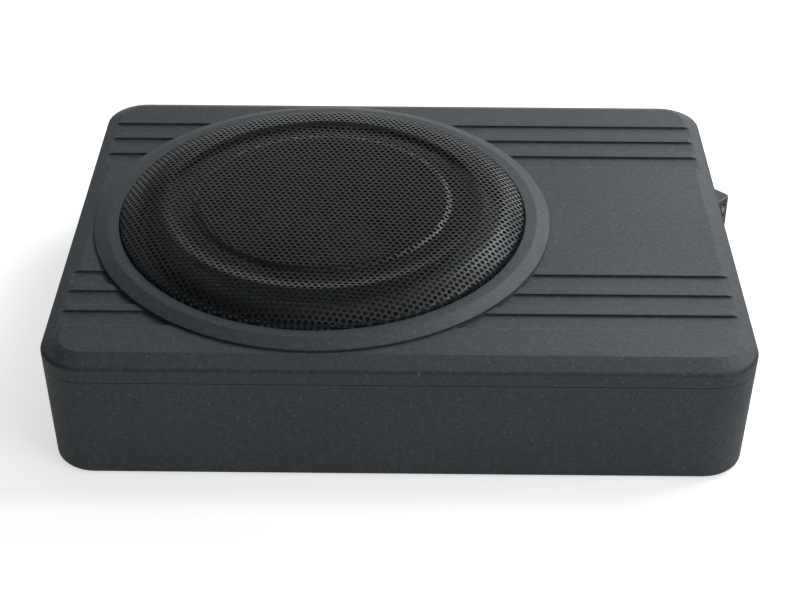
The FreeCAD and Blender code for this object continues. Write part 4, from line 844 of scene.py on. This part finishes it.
def build_panel_print():
    """White dial ticks and plain marks printed on the panel; no lettering."""
    bm = bmesh.new()
    for name in CONTROLS:
        y, z = knob_middle(name)
        for k in range(TICKS):
            a = math.radians(90 + CONTROL_TURN - 2 * CONTROL_TURN * k / (TICKS - 1))
            start, end, width = LONG_TICK if k % 5 == 0 else SHORT_TICK
            points = [(y - r * MM * math.cos(a), z + r * MM * math.sin(a)) for r in (start, end)]
            stroke(bm, points[0], points[1], width * MM)
    lo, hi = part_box("phase_switch_lever")
    z = (lo.z + hi.z) / 2
    gap, mark = 1.9 * MM, 1.2 * MM
    for y in (lo.y - gap, hi.y + PHASE_TRAVEL + gap):
        stroke(bm, (y, z - mark), (y, z + mark), 0.4 * MM)
    for socket in ("remote_socket", "high_level_socket"):
        frame_line(bm, socket, 1.5 * MM, 0.25 * MM)
    piece = new_piece("panel_print", bm, "case", 20.0)
    finish_piece(piece, plastic("print_white", (0.62, 0.63, 0.64), 0.55), None)


def build_pointers():
    """White line let into each knob's groove."""
    outline = [(-0.42, 1.62), (-0.3, 1.5), (0.3, 1.5), (0.42, 1.62),
               (0.42, 5.2), (0.3, 5.35), (-0.3, 5.35), (-0.42, 5.2)]
    for name in CONTROLS:
        y, z = knob_middle(name)
        face = high(name + "_knob").x
        bm = bmesh.new()
        corners = [(y + a * MM, z + b * MM) for a, b in outline]
        flat_patch(bm, corners, face - 0.7 * MM, face - 0.12 * MM)
        piece = new_piece(name + "_pointer", bm, name + "_control", 30.0)
        finish_piece(piece, plastic("pointer_white_" + name, (0.75, 0.76, 0.76), 0.5), None)


# ---- materials on the CAD nodes ------------------------------------------------------------------
COPPER = (0.85, 0.40, 0.20)
FERRITE = (0.045, 0.045, 0.048)
TAB_FROM = 28.0                     # height of the transistors' metal tabs, in millimetres
CAN_LID_FROM = 45.1                 # of the capacitors' bare lids
UPPER_JACK_FROM = 33.0              # between the red jack and the white one
COIL_FROM, COIL_TO = 18.7, 28.9     # of the inductor's winding
BAND_TOP = 60.0                     # above every banded piece


def dress(names, material):
    """Give the named CAD nodes this material."""
    for name in names:
        mesh = nodes[name].data
        mesh.materials.clear()
        mesh.materials.append(material)


def dress_case():
    """Case, and the plated screws and fittings throughout."""
    dress(("top_shell", "base_tray", "trim_ring"), powder_coat())
    dress(("case_screws", "ring_push_nuts", "woofer_screws", "board_screws", "heat_bar_screws",
           "gain_shaft", "crossover_shaft", "boost_shaft", "potentiometers", "plug_clamps"),
          metal("zinc_plate", (0.62, 0.62, 0.63), 0.32))
    dress(("back_yoke", "front_plate"), metal("bare_steel", (0.42, 0.42, 0.44), 0.38))
    dress(("panel_screws",), metal("black_screw", (0.08, 0.08, 0.085), 0.4))
    dress(("bracket_inserts", "board_standoffs", "high_level_pins"),
          metal("brass", (0.78, 0.58, 0.26), 0.3))


def dress_driver():
    """Driver, and the other parts in its enamel, copper and ferrite."""
    dress(("woofer_basket", "transistor_clamp", "phase_switch_body"),
          plastic("black_enamel", (0.02, 0.02, 0.021), 0.35))
    dress(("cone", "dust_cap"), paper_cone())
    dress(("coil_former",), plastic("polyimide_film", (0.35, 0.17, 0.04), 0.3))
    dress(("coil_winding", "transformer_winding"), metal("copper", COPPER, 0.28))
    dress(("magnet", "transformer_core"), plastic("ferrite", FERRITE, 0.55, 0.8, 0.1))
    dress(("terminal_strip",), plastic("fibre_board", (0.30, 0.20, 0.09), 0.6))


def dress_amplifier():
    """Boards and the larger components on them."""
    dress(("main_board", "control_board"), circuit_board())
    dress(("heat_bar",), metal("extruded_aluminium", (0.72, 0.72, 0.74), 0.35, (0.15, 1.0, 1.0)))
    dress(("output_inductor",), banded("inductor", COIL_FROM, COIL_TO, FERRITE, COPPER, True))
    package, tab = (0.03, 0.03, 0.032), (0.62, 0.62, 0.63)
    dress(("power_transistors",), banded("power_package", TAB_FROM, BAND_TOP, package, tab, True))
    sleeve, lid = (0.02, 0.025, 0.05), (0.75, 0.75, 0.76)
    dress(("filter_capacitors",), banded("can_sleeve", CAN_LID_FROM, BAND_TOP, sleeve, lid, True))


def dress_controls():
    """Control panel with its knobs, sockets, plug, fuse and light."""
    dress(("end_panel",), plastic("panel_enamel", (0.022, 0.023, 0.024), 0.42, 0.6))
    dress(("gain_knob", "crossover_knob", "boost_knob", "phase_switch_lever"),
          plastic("knob_black", (0.02, 0.02, 0.021), 0.4))
    dress(("rca_housing", "remote_socket", "power_header", "fuse_holder"),
          plastic("socket_black", (0.024, 0.024, 0.025), 0.42))
    dress(("rca_barrels",), metal("nickel", (0.75, 0.70, 0.60), 0.16))
    red, white = (0.55, 0.03, 0.03), (0.74, 0.73, 0.70)
    dress(("rca_inserts",), banded("jack_colours", UPPER_JACK_FROM, BAND_TOP, red, white, False))
    dress(("high_level_socket",), plastic("white_nylon", (0.72, 0.71, 0.66), 0.4))
    # painted edge highlight: pale plug edges stand for light caught on its ridges
    painted_edge_highlight = {"wear_and_highlight": 1.0, "edge_mm": 0.8, "worn_and_lit_colour": (0.55, 0.58, 0.6)}
    dress(("power_plug",), plastic("plug_black", (0.03, 0.034, 0.036), 0.5, **painted_edge_highlight))
    dress(("blade_fuse",), plastic("fuse_amber", (0.8, 0.35, 0.03), 0.2))
    dress(("led_lens",), plastic("led_blue", (0.1, 0.2, 0.8), 0.15))


# ---- studio --------------------------------------------------------------------------------------
PALE_GLOW = 0.62                    # of the floor and the surroundings, as the camera sees them
FLOOR_GLOW = 0.2                    # what the floor gives to everything else
ROOM_GLOW = 0.03                    # what the surroundings give
FLOOR_HALF = 30.0                   # metres from the middle of the floor to its edges


def build_floor():
    """Plain white sheet: near white to the camera, little light of its own, clear from below."""
    bm = bmesh.new()
    bmesh.ops.create_grid(bm, x_segments=8, y_segments=8, size=FLOOR_HALF)
    mesh = bpy.data.meshes.new("floor")
    bm.to_mesh(mesh)
    bm.free()
    floor = bpy.data.objects.new("floor", mesh)
    scene.collection.objects.link(floor)
    n = Nodes("floor_white")
    path = n.add("ShaderNodeLightPath")
    glow = n.remap(path.outputs["Is Camera Ray"], 0.0, 1.0, FLOOR_GLOW, PALE_GLOW)
    mottle = n.remap(n.noise(300.0, 2.0), 0.3, 0.7, 0.0, 1.0)
    seen = n.mix(mottle, (0.90, 0.90, 0.90), (0.93, 0.93, 0.93))
    tone = n.mix(path.outputs["Is Camera Ray"], (0.6, 0.6, 0.6), seen)
    n.set(Base_Color=tone, Roughness=0.9, Specular_IOR_Level=0.1)
    n.set(Emission_Color=(1.0, 1.0, 1.0), Emission_Strength=glow)
    clear = n.add("ShaderNodeBsdfTransparent")
    geometry = n.add("ShaderNodeNewGeometry")
    share = n.maths("MAXIMUM", geometry.outputs["Backfacing"], path.outputs["Is Shadow Ray"])
    blend = n.add("ShaderNodeMixShader")
    n.link(share, blend.inputs[0])
    n.link(n.bsdf.outputs[0], blend.inputs[1])
    n.link(clear.outputs[0], blend.inputs[2])
    n.link(blend.outputs[0], n.tree.nodes["Material Output"].inputs["Surface"])
    mesh.materials.append(n.material)


LIGHT_AIM = Vector((0.0, 0.0, 0.05))
LIGHTS = (                          # name, place and size in metres, watts and any tint
    ("key_back_right", (1.0, 1.4, 1.5), (0.9, 0.7), 17.0, (0.92, 0.97, 1.0)),
    ("low_back_right", (1.25, 1.9, 0.6), (1.1, 0.6), 3.0),
    ("high_right", (1.2, 0.3, 1.5), (0.4, 0.4), 6.5),
    ("front_right", (0.95, -0.85, 0.75), (0.7, 0.7), 4.6),
    ("front_high", (0.3, -1.3, 1.5), (1.4, 0.7), 1.3),
    ("back", (0.3, 2.2, 0.95), (2.0, 1.1), 5.5),
    ("back_low", (0.0, 1.7, 0.3), (2.4, 0.5), 3.0),
    ("back_left", (-1.5, 1.6, 1.2), (1.4, 1.2), 2.2),
    ("under", (0.3, -0.5, -1.5), (1.5, 1.5), 4.0),
    ("overhead", (0.45, 0.0, 1.95), (1.4, 1.4), 6.0),
)


def area_light(name, place, size, power, colour=(1.0, 1.0, 1.0)):
    """Soft box that faces the object and isn't seen itself."""
    data = bpy.data.lights.new(name, "AREA")
    data.shape = "RECTANGLE"
    data.size, data.size_y = size
    data.energy = power
    data.color = colour
    lamp = bpy.data.objects.new(name, data)
    lamp.location = place
    lamp.rotation_euler = (LIGHT_AIM - Vector(place)).to_track_quat("-Z", "Y").to_euler()
    lamp.visible_camera = False
    scene.collection.objects.link(lamp)


def build_world():
    """Dim surroundings that look as pale as the far floor to the camera."""
    world = bpy.data.worlds.new("studio")
    world.use_nodes = True
    tree = world.node_tree
    background = tree.nodes["Background"]
    background.inputs["Color"].default_value = (0.98, 0.99, 1.0, 1.0)
    path = tree.nodes.new("ShaderNodeLightPath")
    glow = tree.nodes.new("ShaderNodeMapRange")
    glow.inputs["To Min"].default_value = ROOM_GLOW
    glow.inputs["To Max"].default_value = PALE_GLOW
    tree.links.new(path.outputs["Is Camera Ray"], glow.inputs["Value"])
    tree.links.new(glow.outputs["Result"], background.inputs["Strength"])
    scene.world = world


def build_lights():
    """The strongest light comes from the back right and the rest are weak."""
    for light in LIGHTS:
        area_light(*light)


CAMERA_PLACE = (0.0049, -0.7703, 0.5550)
CAMERA_DOWN = math.radians(34.95)
CAMERA_SIDE = math.radians(0.40)
CAMERA_ROLL = math.radians(0.26)
CAMERA_LENS = 77.04                 # millimetres
CAMERA_SENSOR = 36.0                # millimetres


def build_camera():
    """Camera in front of the object, looking down on it."""
    data = bpy.data.cameras.new("camera")
    data.lens = CAMERA_LENS
    data.sensor_width = CAMERA_SENSOR
    data.clip_start = 0.01
    camera = bpy.data.objects.new("camera", data)
    aim = Euler((math.pi / 2 - CAMERA_DOWN, 0.0, CAMERA_SIDE), "XYZ").to_matrix()
    roll = Euler((0.0, 0.0, CAMERA_ROLL), "XYZ").to_matrix()
    camera.rotation_euler = (aim @ roll).to_euler()
    camera.location = CAMERA_PLACE
    scene.collection.objects.link(camera)
    scene.camera = camera


dress_case()
dress_driver()
dress_amplifier()
dress_controls()
build_grille()
build_feet()
build_seam_gasket()
build_surround()
build_spider()
build_woofer_gasket()
build_tinsel_leads()
build_speaker_wires()
build_ribbon()
build_panel_print()
build_pointers()
build_floor()
build_world()
build_lights()
build_camera()

scene.view_settings.view_transform = "Standard"
scene.view_settings.look = "None"
